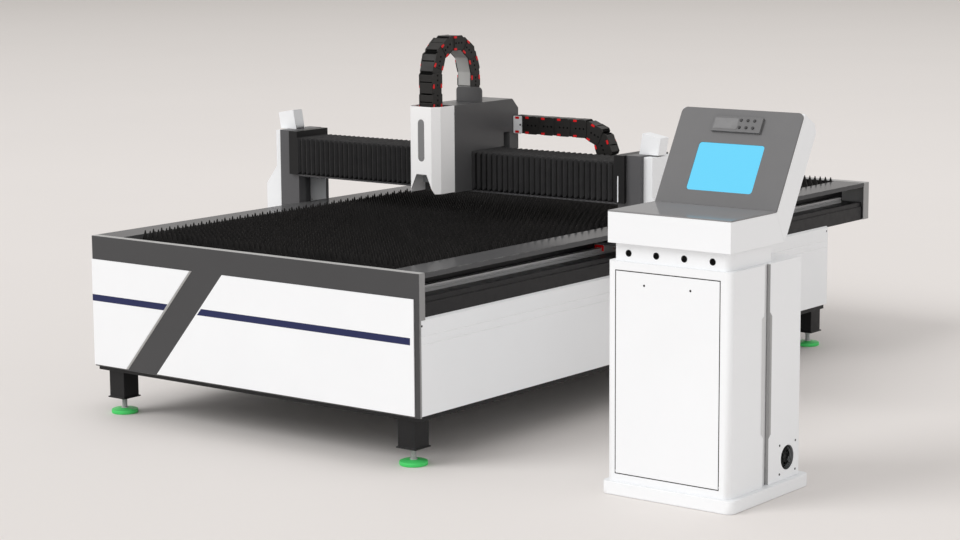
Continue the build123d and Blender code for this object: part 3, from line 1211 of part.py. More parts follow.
def console_door():
    door_right = DOOR_LEFT_X + DOOR_WIDTH
    top = DOOR_BOTTOM + DOOR_HEIGHT
    rear = CONSOLE_FRONT_Y + DOOR_DEPTH
    door = box(DOOR_LEFT_X, door_right, CONSOLE_FRONT_Y, rear, DOOR_BOTTOM, top)
    door -= box(
        DOOR_LEFT_X + SHEET, door_right - SHEET, CONSOLE_FRONT_Y + SHEET, rear + CUT_OVERRUN,
        DOOR_BOTTOM + HINGE_BOSS, top - SHEET,
    )
    middle = (DOOR_LEFT_X + door_right) / 2
    for x in (middle - DOOR_HOLE_SPACING / 2, middle + DOOR_HOLE_SPACING / 2):
        start = (x, CONSOLE_FRONT_Y - CUT_OVERRUN, top - DOOR_HOLE_DROP)
        door -= hole_at(start, (0, 1, 0), DOOR_HOLE_RADIUS, 2 * CUT_OVERRUN)
    return door + rod(hinge_start(), (1, 0, 0), HINGE_PIN_RADIUS, hinge_length())


def console_rear():
    rear = box(
        CONSOLE_LEFT_X, CONSOLE_RIGHT_X, REAR_SECTION_Y, REAR_SECTION_END_Y, PLINTH_HEIGHT, CONSOLE_TOP
    )
    rear += box(
        CONSOLE_LEFT_X + SEAM_INSET, CONSOLE_RIGHT_X - SEAM_INSET, SEAM_Y, REAR_SECTION_Y, PLINTH_HEIGHT, CONSOLE_TOP
    )
    rear -= box(
        CONSOLE_LEFT_X + SHEET, CONSOLE_RIGHT_X - SHEET, REAR_SECTION_Y + SHEET, REAR_SECTION_END_Y - SHEET,
        PLINTH_HEIGHT + SHEET, CONSOLE_TOP - SHEET,
    )
    start = (CONSOLE_RIGHT_X - CUT_OVERRUN, REAR_SECTION_END_Y - VENT_REAR_GAP, VENT_Z)
    return rear - rod(start, (1, 0, 0), VENT_RADIUS, 2 * CUT_OVERRUN)


# Console desk on its neck, and the leaning head with screen and keys
def console_desk():
    neck = rounded_box(
        NECK_LEFT_X, NECK_RIGHT_X, NECK_FRONT_Y, NECK_FRONT_Y + NECK_DEPTH, CONSOLE_TOP, DESK_BOTTOM,
        NECK_ROUND, True,
    )
    neck -= rounded_box(
        NECK_LEFT_X + SHEET, NECK_RIGHT_X - SHEET, NECK_FRONT_Y + SHEET, NECK_FRONT_Y + NECK_DEPTH - SHEET,
        CONSOLE_TOP - CUT_OVERRUN, DESK_BOTTOM, NECK_ROUND - SHEET, True,
    )
    first = (NECK_LEFT_X + NECK_RIGHT_X - NECK_HOLE_PITCH * (NECK_HOLE_COUNT - 1)) / 2
    for index in range(NECK_HOLE_COUNT):
        start = (first + index * NECK_HOLE_PITCH, NECK_FRONT_Y - CUT_OVERRUN, NECK_HOLE_Z)
        neck -= hole_at(start, (0, 1, 0), NECK_HOLE_RADIUS, 2 * CUT_OVERRUN)
    profile = [
        (DESK_FRONT_Y, DESK_BOTTOM), (DESK_REAR_Y + DESK_BACK_LEAN, DESK_BOTTOM),
        (DESK_REAR_Y, DESK_TOP - DESK_PLATE), (DESK_FRONT_Y, DESK_TOP - DESK_PLATE),
    ]
    desk = neck + prism_x(profile, DESK_LEFT_X, DESK_LEFT_X + DESK_WIDTH)
    desk -= box(
        DESK_LEFT_X + SHEET, DESK_LEFT_X + DESK_WIDTH - SHEET, DESK_FRONT_Y + SHEET, DESK_REAR_Y - SHEET,
        DESK_BOTTOM + SHEET, DESK_TOP - DESK_PLATE - SHEET,
    )
    return desk - box(
        NECK_LEFT_X + NECK_ROUND, NECK_RIGHT_X - NECK_ROUND, NECK_FRONT_Y + NECK_ROUND,
        DESK_REAR_Y - NECK_ROUND, CONSOLE_TOP, DESK_BOTTOM + 2 * SHEET,
    )


def desk_plate():
    top = DESK_TOP
    return box(DESK_LEFT_X, DESK_LEFT_X + DESK_WIDTH, DESK_FRONT_Y, DESK_REAR_Y, top - DESK_PLATE, top)


def head_point(height, depth):
    y = DESK_REAR_Y + height * math.sin(SCREEN_TILT) + depth * math.cos(SCREEN_TILT)
    return (y, DESK_TOP + height * math.cos(SCREEN_TILT) - depth * math.sin(SCREEN_TILT))


def head_plane(x, height, depth):
    y, z = head_point(height, depth)
    outward = (0, -math.cos(SCREEN_TILT), math.sin(SCREEN_TILT))
    return Plane(origin=(x, y, z), x_dir=(1, 0, 0), z_dir=outward)


def head_slab(left, width, bottom, height, back, front, radius=0, corners=None):
    plane = head_plane(left + width / 2, bottom + height / 2, back)
    slab = Box(width, height, back - front, align=(Align.CENTER, Align.CENTER, Align.MIN))
    if radius:
        edges = slab.edges().filter_by(Axis.Z).sort_by(Axis.Y)
        slab = fillet(edges[-2:] if corners == "top" else edges, radius)
    return plane * slab


def screen_housing():
    outline = [
        head_point(0, FACE_PLATE), head_point(HEAD_HEIGHT, FACE_PLATE),
        head_point(HEAD_HEIGHT, HEAD_THICKNESS - HEAD_CHAMFER), head_point(HEAD_HEIGHT - HEAD_CHAMFER, HEAD_THICKNESS),
        head_point(-HEAD_TAIL, HEAD_THICKNESS), (DESK_REAR_Y + DESK_BACK_LEAN, DESK_BOTTOM),
        (DESK_REAR_Y, DESK_TOP - DESK_PLATE),
    ]
    housing = prism_x(outline, DESK_LEFT_X, DESK_LEFT_X + DESK_WIDTH)
    return housing - head_slab(
        SCREEN_LEFT_X, SCREEN_WIDTH, SCREEN_BOTTOM / 2, HEAD_HEIGHT - SCREEN_BOTTOM,
        HEAD_THICKNESS - HEAD_CHAMFER, 0,
    )


def screen_face():
    face = head_slab(DESK_LEFT_X, DESK_WIDTH, 0, HEAD_HEIGHT, FACE_PLATE, 0, FACE_ROUND, "top")
    return face - head_slab(
        SCREEN_LEFT_X, SCREEN_WIDTH, SCREEN_BOTTOM, SCREEN_HEIGHT, FACE_PLATE, -CUT_OVERRUN, SCREEN_ROUND
    )


def screen():
    gap = SCREEN_GAP
    return head_slab(
        SCREEN_LEFT_X + gap, SCREEN_WIDTH - 2 * gap, SCREEN_BOTTOM + gap, SCREEN_HEIGHT - 2 * gap,
        FACE_PLATE, SCREEN_INSET, SCREEN_ROUND - gap,
    )


def key_places():
    places = []
    for row in range(KEY_ROWS):
        for column in range(KEY_COLUMNS):
            places.append((KEY_FIRST_X + column * KEY_PITCH, KEY_FIRST_HEIGHT + row * KEY_PITCH))
    return places


def key_box():
    case = head_slab(KEY_BOX_LEFT_X, KEY_BOX_WIDTH, KEY_BOX_BOTTOM, KEY_BOX_HEIGHT, 0, -KEY_BOX_DEPTH)
    for x, height in key_places():
        case -= head_plane(x, height, -KEY_FLOOR) * hole(KEY_RADIUS + RUNNING_CLEARANCE, KEY_BOX_DEPTH)
    return case


def key(x, height):
    return head_plane(x, height, KEY_LENGTH - KEY_PROUD - KEY_BOX_DEPTH) * pin(KEY_RADIUS, KEY_LENGTH)


os.makedirs("parts", exist_ok=True)

save("table_frame", *table_frame())
save("table_legs", *table_legs())
foot_studs, foot_pads = feet()
save("foot_studs", *foot_studs)
save("foot_pads", *foot_pads)
save("front_fascia", front_fascia())
save("front_panels", *front_panels())
save("rear_end_plate", rear_end_plate())
save("side_panels", side_panel(), left_copy(side_panel()))
save("rear_panel", rear_panel())
save_pair("side_beam", side_beam())
save("top_flanges", *top_flange(), *[left_copy(plate) for plate in top_flange()])
save("long_rails", long_rail(), left_copy(long_rail()))
save("long_racks", long_rack(), left_copy(long_rack()))
save("slats", *slats())
save("slat_supports", *slat_supports())
save("slag_tray", *slag_tray())

save_pair("gantry_post", gantry_post())
save("guide_blocks", *guide_blocks())
save("long_drives", long_drive(), left_copy(long_drive()))
save_pair("long_pinion", long_pinion())
save("post_covers", post_cover(), left_copy(post_cover()))
save("end_hoods", end_hood(), left_copy(end_hood()))
save("gantry_beam", gantry_beam(), guide_strip())
save("cross_rails", *cross_rails(), cross_rack())
save("bellows_frames", bellows_frame(), left_copy(bellows_frame()))
save("bellows_left", bellows(-FRAME_X, CARRIAGE_LEFT_X))
save("bellows_right", bellows(CARRIAGE_RIGHT_X, FRAME_X))
save("chain_tray", chain_tray())
save("run_chain", *run_chain())

save("carriage_saddle", carriage_saddle())
save("carriage_plate", carriage_plate())
save("cross_blocks", *cross_blocks())
save("cross_motor", cross_motor())
save("cross_pinion", cross_pinion())
save("chain_brackets", chain_anchor(), chain_bracket())
save("lift_drive", *lift_drive())
save("lift_screw", lift_screw())
save("arch_chain", *arch_chain())
save("torch_housing", torch_housing())
save("lift_plate", lift_plate())
save("torch", torch())

save("console_plinth", console_plinth())
save("console_cabinet", console_cabinet())
save("console_door", console_door())
save("console_rear", console_rear())
save("console_desk", console_desk())
save("desk_plate", desk_plate())
save("screen_housing", screen_housing())
save("screen_face", screen_face())
save("screen", screen())
save("key_box", key_box())
for number, place in enumerate(key_places(), start=1):
    save("key_" + str(number), key(*place))
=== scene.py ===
import math

import bmesh
import bpy
from mathutils import Matrix, Vector


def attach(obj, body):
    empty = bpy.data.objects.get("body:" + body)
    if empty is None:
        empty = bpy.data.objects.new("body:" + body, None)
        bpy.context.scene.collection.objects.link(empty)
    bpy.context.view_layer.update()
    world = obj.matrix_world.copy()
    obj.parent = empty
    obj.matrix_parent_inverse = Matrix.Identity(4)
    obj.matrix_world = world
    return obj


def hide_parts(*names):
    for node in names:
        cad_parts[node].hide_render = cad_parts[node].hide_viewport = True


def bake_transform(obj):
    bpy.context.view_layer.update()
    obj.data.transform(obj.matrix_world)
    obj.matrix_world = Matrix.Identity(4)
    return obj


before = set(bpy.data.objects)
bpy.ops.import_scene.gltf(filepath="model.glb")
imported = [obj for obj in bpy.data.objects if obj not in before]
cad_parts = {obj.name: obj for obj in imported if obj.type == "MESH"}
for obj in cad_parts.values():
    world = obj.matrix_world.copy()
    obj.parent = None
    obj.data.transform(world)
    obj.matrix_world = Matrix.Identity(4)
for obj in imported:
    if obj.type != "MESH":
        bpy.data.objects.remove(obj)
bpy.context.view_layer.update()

# Places are written in measured millimetres: x from the table's middle, y from its front, z from the floor
SHIFT = Vector((-618.0, -2029.5, 0.0))
MM_PER_M = 1000


def at(x, y, z):
    """A measured place as a point of the frame, in metres."""
    return (Vector((x, y, z)) + SHIFT) / MM_PER_M


def srgb(red, green=None, blue=None):
    """A colour in steps of 0 to 255, or one grey, through the sRGB curve."""
    if green is None:
        green = blue = red
    out = []
    for value in (red, green, blue):
        share = value / 255
        out.append(share / 12.92 if share <= 0.04045 else ((share + 0.055) / 1.055) ** 2.4)
    return tuple(out)


# Materials
CLOUD_DETAIL, SMEAR_DETAIL, GRAIN_DETAIL = 4.0, 3.0, 2.0
NOISE_LOW, NOISE_HIGH = 0.3, 0.7
FACING_LOW, FACING_HIGH = 0.8, 0.95
EDGE_LOW, EDGE_HIGH, EDGE_SAMPLES = 0.9, 0.999, 4
WEAR_AND_GLINT_SCALE, WEAR_AND_GLINT_DETAIL, WEAR_AND_GLINT_LOW, WEAR_AND_GLINT_HIGH = 18.0, 5.0, 0.4, 0.65
LEAST_ROUGHNESS = 0.02
GRAIN_DEPTH = 0.0004
MIX_SHARE, MIX_FIRST, MIX_SECOND, MIX_RESULT = 0, 6, 7, 2


def wire(tree, kind, inputs=None, **settings):
    """A new node with its settings, its inputs given as values or as other nodes' outputs."""
    node = tree.nodes.new(kind)
    for name, value in settings.items():
        setattr(node, name, value)
    for name, value in (inputs or {}).items():
        if hasattr(value, "is_output"):
            tree.links.new(value, node.inputs[name])
        else:
            node.inputs[name].default_value = value
    return node


def noise(tree, vector, scale, detail):
    return wire(tree, "ShaderNodeTexNoise", {"Vector": vector, "Scale": scale, "Detail": detail}).outputs["Fac"]


def mix_colour(tree, share, first, second):
    node = wire(tree, "ShaderNodeMix", {MIX_SHARE: share}, data_type="RGBA")
    for socket, value in ((node.inputs[MIX_FIRST], first), (node.inputs[MIX_SECOND], second)):
        if hasattr(value, "is_output"):
            tree.links.new(value, socket)
        else:
            socket.default_value = (*value, 1.0)
    return node.outputs[MIX_RESULT]


def spread(tree, value, low, high, start=NOISE_LOW, end=NOISE_HIGH):
    node = wire(
        tree, "ShaderNodeMapRange",
        {"Value": value, "From Min": start, "From Max": end, "To Min": low, "To Max": high},
    )
    return node.outputs["Result"]


def facing(tree, normal, axis, both_ways):
    """How squarely a face looks along an axis, one way or both."""
    value = wire(tree, "ShaderNodeSeparateXYZ", {"Vector": normal}).outputs[axis]
    if both_ways:
        value = wire(tree, "ShaderNodeMath", {0: value}, operation="ABSOLUTE").outputs["Value"]
    return spread(tree, value, 0.0, 1.0, FACING_LOW, FACING_HIGH)


def surface(
    name, colour, roughness, metallic=0.0, shade=0.05, shade_scale=2.5, rough_spread=0.06, rough_scale=25.0,
    grain=0.05, grain_scale=700.0, stretch=(1, 1, 1), edge=None, edge_width=0.0022, top=None, end=None, specular=0.5,
):
    """A coat with clouded colour, smeared roughness, fine grain and rounded edges, and edges of another colour where
    asked, partly wear and partly a painted highlight.
    """
    material = bpy.data.materials.new(name)
    material.use_nodes = True
    tree = material.node_tree
    shader = tree.nodes["Principled BSDF"]
    places = wire(tree, "ShaderNodeTexCoord").outputs["Object"]
    stretched = wire(tree, "ShaderNodeMapping", {"Vector": places, "Scale": stretch}).outputs["Vector"]
    darker = tuple(part * (1 - shade) for part in colour)
    lighter = tuple(min(1.0, part * (1 + shade)) for part in colour)
    cloud = spread(tree, noise(tree, stretched, shade_scale, CLOUD_DETAIL), 0.0, 1.0)
    tint = mix_colour(tree, cloud, darker, lighter)
    normal = wire(tree, "ShaderNodeNewGeometry").outputs["True Normal"]
    if top is not None:
        tint = mix_colour(tree, facing(tree, normal, "Z", False), tint, top)
    if end is not None:
        tint = mix_colour(tree, facing(tree, normal, "X", True), tint, end)
    bevelled = wire(tree, "ShaderNodeBevel", {"Radius": edge_width}, samples=EDGE_SAMPLES).outputs["Normal"]
    # Edge colour in patches: partly wear, partly a painted highlight on the edges
    if edge is not None:
        along = wire(tree, "ShaderNodeVectorMath", {0: bevelled, 1: normal}, operation="DOT_PRODUCT").outputs["Value"]
        wear_and_glint = spread(tree, along, 1.0, 0.0, EDGE_LOW, EDGE_HIGH)
        patchy = spread(tree, noise(tree, places, WEAR_AND_GLINT_SCALE, WEAR_AND_GLINT_DETAIL), 0.0, 1.0, WEAR_AND_GLINT_LOW, WEAR_AND_GLINT_HIGH)
        mask = wire(tree, "ShaderNodeMath", {0: wear_and_glint, 1: patchy}, operation="MULTIPLY").outputs["Value"]
        tint = mix_colour(tree, mask, tint, edge)
    tree.links.new(tint, shader.inputs["Base Color"])
    smear = noise(tree, stretched, rough_scale, SMEAR_DETAIL)
    smoothest = max(LEAST_ROUGHNESS, roughness - rough_spread)
    tree.links.new(spread(tree, smear, smoothest, roughness + rough_spread), shader.inputs["Roughness"])
    relief = noise(tree, stretched, grain_scale, GRAIN_DETAIL)
    bump = wire(
        tree, "ShaderNodeBump", {"Height": relief, "Strength": grain, "Distance": GRAIN_DEPTH, "Normal": bevelled}
    )
    tree.links.new(bump.outputs["Normal"], shader.inputs["Normal"])
    shader.inputs["Metallic"].default_value = metallic
    shader.inputs["Specular IOR Level"].default_value = specular
    return material


WHITE = surface(
    "white_coat", srgb(242, 244, 246), 0.42, shade=0.01, grain=0.05, grain_scale=900, edge=srgb(235), specular=0.3
)
# Painted light: a whiter copy of the white coat for the torch housing, making up for the light that the dark bed
# around it takes away
TORCH_LIT_WHITE = surface("torch_white_painted_light", srgb(253), 0.4, shade=0.005, grain=0.04, grain_scale=900, specular=0.3)
# Painted shade: a pale grey for the white panel's folded edge where it lies in shadow
WHITE_EDGE_SHADE = surface("white_edge_painted_shade", srgb(186, 186, 185), 0.42, shade=0.03, grain=0.06, edge=srgb(215), specular=0.3)
# Painted shade: a grey for the white walls of the console's seam, where shade falls
SEAM_SHADE = surface("seam_shade_grey", srgb(164), 0.6, shade=0.05, grain=0.1, edge_width=0.0008, specular=0.2)
# Painted shade: a dark grey for the faces in the console door's gap, where shade falls
GAP_SHADE = surface("door_gap_shade", srgb(46), 0.7, shade=0.05, grain=0.1, specular=0.1)
# Painted shade: a light grey for the lip in the console's seam, a white face in shade
LIP_SHADE = surface("lip_shade_grey", srgb(218, 219, 220), 0.42, shade=0.02, grain=0.06, specular=0.3)
GREY = surface("grey_coat", srgb(88, 88, 90), 0.4, shade=0.04, grain=0.08, edge=srgb(116), specular=0.25)
FASCIA = surface(
    "fascia_coat", srgb(70, 70, 71), 0.4, shade=0.03, grain=0.08, edge=srgb(150), top=srgb(176, 176, 175),
    end=srgb(148), specular=0.25,
)
# Painted shade: the top flanges are a light grey, and this dark grey with almost no reflection stands in for the shade
# and the dark reflections that lie on them
RIM_SHADE = surface(
    "rim_painted_shade", srgb(90, 90, 91), 0.14, shade=0.02, rough_spread=0.02, rough_scale=4, grain=0.01, edge=srgb(150),
    specular=0.01,
)
PLATE = surface("plate_coat", srgb(150), 0.34, shade=0.03, rough_spread=0.03, grain=0.04, edge=srgb(185))
CARRIAGE = surface("carriage_coat", srgb(86, 86, 87), 0.34, shade=0.04, grain=0.06, edge=srgb(105), specular=0.3)
CHARCOAL = surface("charcoal_coat", srgb(25, 25, 27), 0.42, shade=0.08, grain=0.08, edge=srgb(66), specular=0.25)
BLACK = surface("black_coat", srgb(26, 26, 27), 0.44, shade=0.1, grain=0.1, edge=srgb(56), specular=0.25)
STEEL = surface(
    "ground_steel", srgb(184, 185, 186), 0.34, metallic=0.4, shade=0.02, rough_spread=0.03, stretch=(1, 0.05, 1),
    rough_scale=60, grain=0.02, edge=srgb(222), edge_width=0.001,
)
DARK_STEEL = surface(
    "black_steel", srgb(26, 25, 25), 0.52, metallic=0.2, shade=0.3, shade_scale=9, rough_spread=0.12, rough_scale=40,
    grain=0.2, grain_scale=260, edge=srgb(66, 62, 58), edge_width=0.0012, specular=0.3,
)
ALUMINIUM = surface(
    "milled_aluminium", srgb(196, 198, 200), 0.34, metallic=0.85, shade=0.05, stretch=(0.05, 1, 1), rough_scale=300,
    grain=0.05, edge=srgb(230), edge_width=0.001,
)
MOTOR = surface(
    "motor_coat", srgb(33, 33, 35), 0.48, shade=0.1, grain=0.2, grain_scale=380, edge=srgb(86), specular=0.3
)
CHAIN = surface(
    "chain_plastic", srgb(33, 32, 31), 0.44, shade=0.08, grain=0.12, grain_scale=900, edge=srgb(58, 56, 54),
    edge_width=0.0012, specular=0.3,
)
COVER = surface("chain_cover", srgb(176, 176, 174), 0.5, shade=0.04, grain=0.08, edge_width=0.001, specular=0.3)
RED = surface(
    "red_plastic", srgb(224, 24, 28), 0.4, shade=0.05, grain=0.06, edge=srgb(236, 60, 60), edge_width=0.0008,
    specular=0.25,
)
HOLE = surface("hole_shadow", srgb(6), 0.8, shade=0.2, grain=0.1, specular=0.1)
GREEN = surface(
    "pad_plastic", srgb(74, 210, 108), 0.45, shade=0.05, grain=0.1, grain_scale=500, edge=srgb(120, 228, 150),
    specular=0.3,
)
NAVY = surface("navy_stripe", srgb(37, 43, 84), 0.45, shade=0.04, grain=0.03, specular=0.2)
SLOT_GREY = surface("slot_grey", srgb(129, 129, 130), 0.3, shade=0.03, grain=0.05, specular=0.35)
PANEL = surface(
    "panel_grey", srgb(109, 109, 110), 0.5, shade=0.015, rough_spread=0.02, grain=0.02, edge=srgb(136), specular=0.25
)
DESK = surface("desk_gloss", srgb(140, 140, 141), 0.1, shade=0.02, rough_spread=0.02, grain=0.01, specular=0.012)
KEY = surface(
    "key_plastic", srgb(44, 44, 46), 0.45, shade=0.06, grain=0.1, grain_scale=900, edge=srgb(84), edge_width=0.0006,
    specular=0.35,
)
BRASS = surface(
    "nozzle_brass", srgb(176, 120, 62), 0.3, metallic=0.9, shade=0.1, grain=0.05, edge=srgb(210, 160, 100),
    edge_width=0.0006,
)

WEAVE_SCALE, WEAVE_DISTORTION, WEAVE_STRENGTH, WEAVE_DEPTH = 260.0, 0.6, 0.25, 0.0005
CELL_SCALE, CELL_SHADE, UNLIT_SHARE = 900, 0.985, 0.04


def fabric(name, colour):
    """Coated cloth, with a fine weave over its grain."""
    material = surface(
        name, colour, 0.6, shade=0.1, shade_scale=14, rough_spread=0.08, grain=0.3, grain_scale=650, specular=0.2
    )
    tree = material.node_tree
    places = tree.nodes["Texture Coordinate"].outputs["Object"]
    threads = {}
    for number, direction in enumerate(("Z", "Y")):
        threads[number] = wire(
            tree, "ShaderNodeTexWave",
            {"Vector": places, "Scale": WEAVE_SCALE, "Distortion": WEAVE_DISTORTION},
            wave_type="BANDS", bands_direction=direction,
        ).outputs["Fac"]
    weave = wire(tree, "ShaderNodeMath", threads, operation="MULTIPLY").outputs["Value"]
    grain = next(node for node in tree.nodes if node.type == "BUMP").outputs["Normal"]
    bump = wire(
        tree, "ShaderNodeBump",
        {"Height": weave, "Strength": WEAVE_STRENGTH, "Distance": WEAVE_DEPTH, "Normal": grain},
    )
    tree.links.new(bump.outputs["Normal"], tree.nodes["Principled BSDF"].inputs["Normal"])
    return material


def dimmed(colour, share):
    return (*[part * share for part in colour], 1)


def display(name, colour, strength):
    """A lit screen of fine cells, nearly black where it gives no light."""
    material = surface(name, colour, 0.4, shade=0.02, rough_spread=0.02, grain=0.01, specular=0.1)
    tree = material.node_tree
    shader = tree.nodes["Principled BSDF"]
    places = tree.nodes["Texture Coordinate"].outputs["Object"]
    cells = wire(
        tree, "ShaderNodeTexChecker",
        {"Vector": places, "Scale": CELL_SCALE, "Color1": (*colour, 1), "Color2": dimmed(colour, CELL_SHADE)},
    )
    tree.links.new(cells.outputs["Color"], shader.inputs["Emission Color"])
    shader.inputs["Emission Strength"].default_value = strength
    for link in list(shader.inputs["Base Color"].links):
        tree.links.remove(link)
    shader.inputs["Base Color"].default_value = dimmed(colour, UNLIT_SHARE)
    return material


FABRIC = fabric("bellows_fabric", srgb(45, 45, 46))
# Painted shade: a darker copy of the bellows cloth for the valleys of the folds, where shade falls
FOLD_SHADE = fabric("bellows_fold_shade", srgb(14))
SCREEN = display("screen_light", srgb(108, 217, 255), 0.93)
READOUT = surface("readout_glass", srgb(115, 115, 116), 0.35, shade=0.02, grain=0.01, specular=0.3)

# Nodes that keep their solid take a material of their own, and some take softened edges, in metres
DRESS = {
    "table_frame": BLACK, "table_legs": BLACK, "front_fascia": FASCIA, "front_panels": WHITE, "rear_end_plate": PLATE,
    "side_panels": WHITE, "rear_panel": WHITE, "side_beam_left": CHARCOAL, "side_beam_right": CHARCOAL,
    "top_flanges": RIM_SHADE, "long_rails": STEEL, "slat_supports": BLACK, "slag_tray": DARK_STEEL,
    "gantry_post_left": GREY, "gantry_post_right": GREY, "guide_blocks": STEEL, "long_drives": MOTOR,
    "long_pinion_left": STEEL, "long_pinion_right": STEEL, "post_covers": WHITE, "end_hoods": WHITE,
    "gantry_beam": GREY, "cross_rails": STEEL, "bellows_frames": BLACK, "chain_tray": CHARCOAL,
    "carriage_saddle": CARRIAGE, "carriage_plate": ALUMINIUM, "cross_blocks": STEEL, "cross_motor": MOTOR,
    "cross_pinion": STEEL, "chain_brackets": CARRIAGE, "lift_drive": ALUMINIUM, "lift_screw": STEEL,
    "torch_housing": TORCH_LIT_WHITE, "lift_plate": ALUMINIUM, "console_plinth": WHITE, "console_cabinet": WHITE,
    "console_door": WHITE, "console_rear": WHITE, "console_desk": WHITE, "desk_plate": DESK,
    "screen_housing": WHITE, "screen_face": PANEL, "screen": SCREEN, "key_box": PANEL,
}
SOFT_EDGES = {
    "front_fascia": 0.002, "front_panels": 0.0015, "side_panels": 0.0015, "top_flanges": 0.0012,
    "gantry_post_left": 0.002, "gantry_post_right": 0.002, "post_covers": 0.0015, "end_hoods": 0.003,
    "carriage_saddle": 0.002, "torch_housing": 0.001, "screen_housing": 0.004,
    "console_plinth": 0.005, "console_cabinet": 0.002, "console_rear": 0.002, "table_legs": 0.003,
    "key_box": 0.0015, "chain_brackets": 0.0015, "rear_end_plate": 0.002, "desk_plate": 0.001,
}
WELD_REACH = 0.00002
FLAT_DEGREES, SHARP_DEGREES = 1.0, 32
BEVEL_SEGMENTS = 2


def soften(piece, width):
    weld = piece.modifiers.new("weld", "WELD")
    weld.merge_threshold = WELD_REACH
    flat = piece.modifiers.new("flat", "DECIMATE")
    flat.decimate_type = "DISSOLVE"
    flat.angle_limit = math.radians(FLAT_DEGREES)
    bevel = piece.modifiers.new("bevel", "BEVEL")
    bevel.width = width
    bevel.segments = BEVEL_SEGMENTS
    bevel.limit_method = "ANGLE"
    bevel.angle_limit = math.radians(SHARP_DEGREES)
    bevel.harden_normals = True


def dress():
    for node, material in DRESS.items():
        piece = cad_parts[node]
        piece.data.materials.clear()
        piece.data.materials.append(material)
        if node in SOFT_EDGES:
            soften(piece, SOFT_EDGES[node])


def door_gap_shade():
    """Painted shade in the door's gap: a dark grey on the console door's edges, and on the edges of its opening a gap
    outside them.
    """
    door_x, door_z, door_gap = (1945.0, 2453.0), (94.0, 960.0), 4.0
    reach, most_forward, gap_shade_kind = 0.3, 0.5, 1
    bpy.context.view_layer.update()
    for node, gap in (("console_door", 0.0), ("console_cabinet", door_gap)):
        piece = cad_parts[node]
        piece.data.materials.append(GAP_SHADE)
        for face in piece.data.polygons:
            centre = (piece.matrix_world @ face.center) * MM_PER_M - SHIFT
            off = [centre.x - door_x[0] + gap, centre.x - door_x[1] - gap]
            off += [centre.z - door_z[0] + gap, centre.z - door_z[1] - gap]
            if abs(face.normal.y) < most_forward and min(abs(value) for value in off) < reach:
                face.material_index = gap_shade_kind


# Mesh building in measured millimetres
def along_x(u, v, w):
    return (w, u, v)


def along_y(u, v, w):
    return (u, w, v)


def along_z(u, v, w):
    return (u, v, w)


HEAD_TILT = math.radians(29.3)
HEAD_FOOT_Y, HEAD_FOOT_Z = 514, 1215


def on_head(x, height, out):
    """A point on the leaning console head: height up its face and out from it."""
    y = HEAD_FOOT_Y + height * math.sin(HEAD_TILT) - out * math.cos(HEAD_TILT)
    return (x, y, HEAD_FOOT_Z + height * math.cos(HEAD_TILT) + out * math.sin(HEAD_TILT))


class Form:
    """Gathers prisms and turned shapes, each with a material number, and makes one piece of them."""

    def __init__(self):
        self.points = []
        self.faces = []
        self.kinds = []

    def add(self, points, faces, kind):
        start = len(self.points)
        self.points += points
        self.faces += [tuple(start + index for index in face) for face in faces]
        self.kinds += [kind] * len(faces)

    def prism(self, outline, low, high, place=along_z, kind=0):
        count = len(outline)
        points = [place(u, v, low) for u, v in outline] + [place(u, v, high) for u, v in outline]
        faces = [tuple(range(count))[::-1], tuple(range(count, 2 * count))]
        for index in range(count):
            after = (index + 1) % count
            faces.append((index, after, count + after, count + index))
        self.add(points, faces, kind)

    def turned(self, profile, middle, sides, place=along_z, kind=0):
        """Turns (radius, height) pairs: a capped body, or a ring where the last pair is the first."""
        ring_shaped = profile[0] == profile[-1]
        rows = profile[:-1] if ring_shaped else profile
        points = [place(u, v, height) for radius, height in rows for u, v in circle(*middle, radius, sides)]
        faces = []
        for row in range(len(profile) - 1):
            low, high = row * sides, (row + 1) % len(rows) * sides
            for index in range(sides):
                after = (index + 1) % sides
                faces.append((low + index, low + after, high + after, high + index))
        if not ring_shaped:
            faces.append(tuple(range(sides))[::-1])
            last = (len(rows) - 1) * sides
            faces.append(tuple(range(last, last + sides)))
        self.add(points, faces, kind)

    def piece(self, name, materials, smooth=0.0):
        """The piece itself; edges under the angle smooth, in degrees, are shaded smooth."""
        mesh = bpy.data.meshes.new(name)
        mesh.from_pydata([tuple(at(*point)) for point in self.points], [], self.faces)
        for material in materials:
            mesh.materials.append(material)
        for polygon, kind in zip(mesh.polygons, self.kinds):
            polygon.material_index = kind
        form = bmesh.new()
        form.from_mesh(mesh)
        bmesh.ops.recalc_face_normals(form, faces=form.faces)
        if smooth:
            for face in form.faces:
                face.smooth = True
            for edge in form.edges:
                edge.smooth = len(edge.link_faces) == 2 and edge.calc_face_angle(0) < math.radians(smooth)
        form.to_mesh(mesh)
        form.free()
        piece = bpy.data.objects.new(name, mesh)
        bpy.context.scene.collection.objects.link(piece)
        return piece


def rounded(u0, u1, v0, v1, radius, steps):
    """A rectangle with rounded corners."""
    outline = []
    corners = (
        (u1 - radius, v1 - radius, 0), (u0 + radius, v1 - radius, 90), (u0 + radius, v0 + radius, 180),
        (u1 - radius, v0 + radius, 270),
    )
    for u, v, first in corners:
        outline += arc((u, v), radius, first, 90, steps)
    return outline


def circle(u, v, radius, sides):
    turns = [2 * math.pi * index / sides for index in range(sides)]
    return [(u + radius * math.cos(turn), v + radius * math.sin(turn)) for turn in turns]


def arc(centre, radius, first, sweep, count):
    """Points on an arc that starts at the angle first, in degrees, and sweeps on in count steps."""
    points = []
    for index in range(count + 1):
        turn = math.radians(first + sweep * index / count)
        points.append((centre[0] + radius * math.cos(turn), centre[1] + radius * math.sin(turn)))
    return points


def mirrored(outline, side):
    return [(side * u, v) for u, v in outline]


SIDES = (-1, 1)


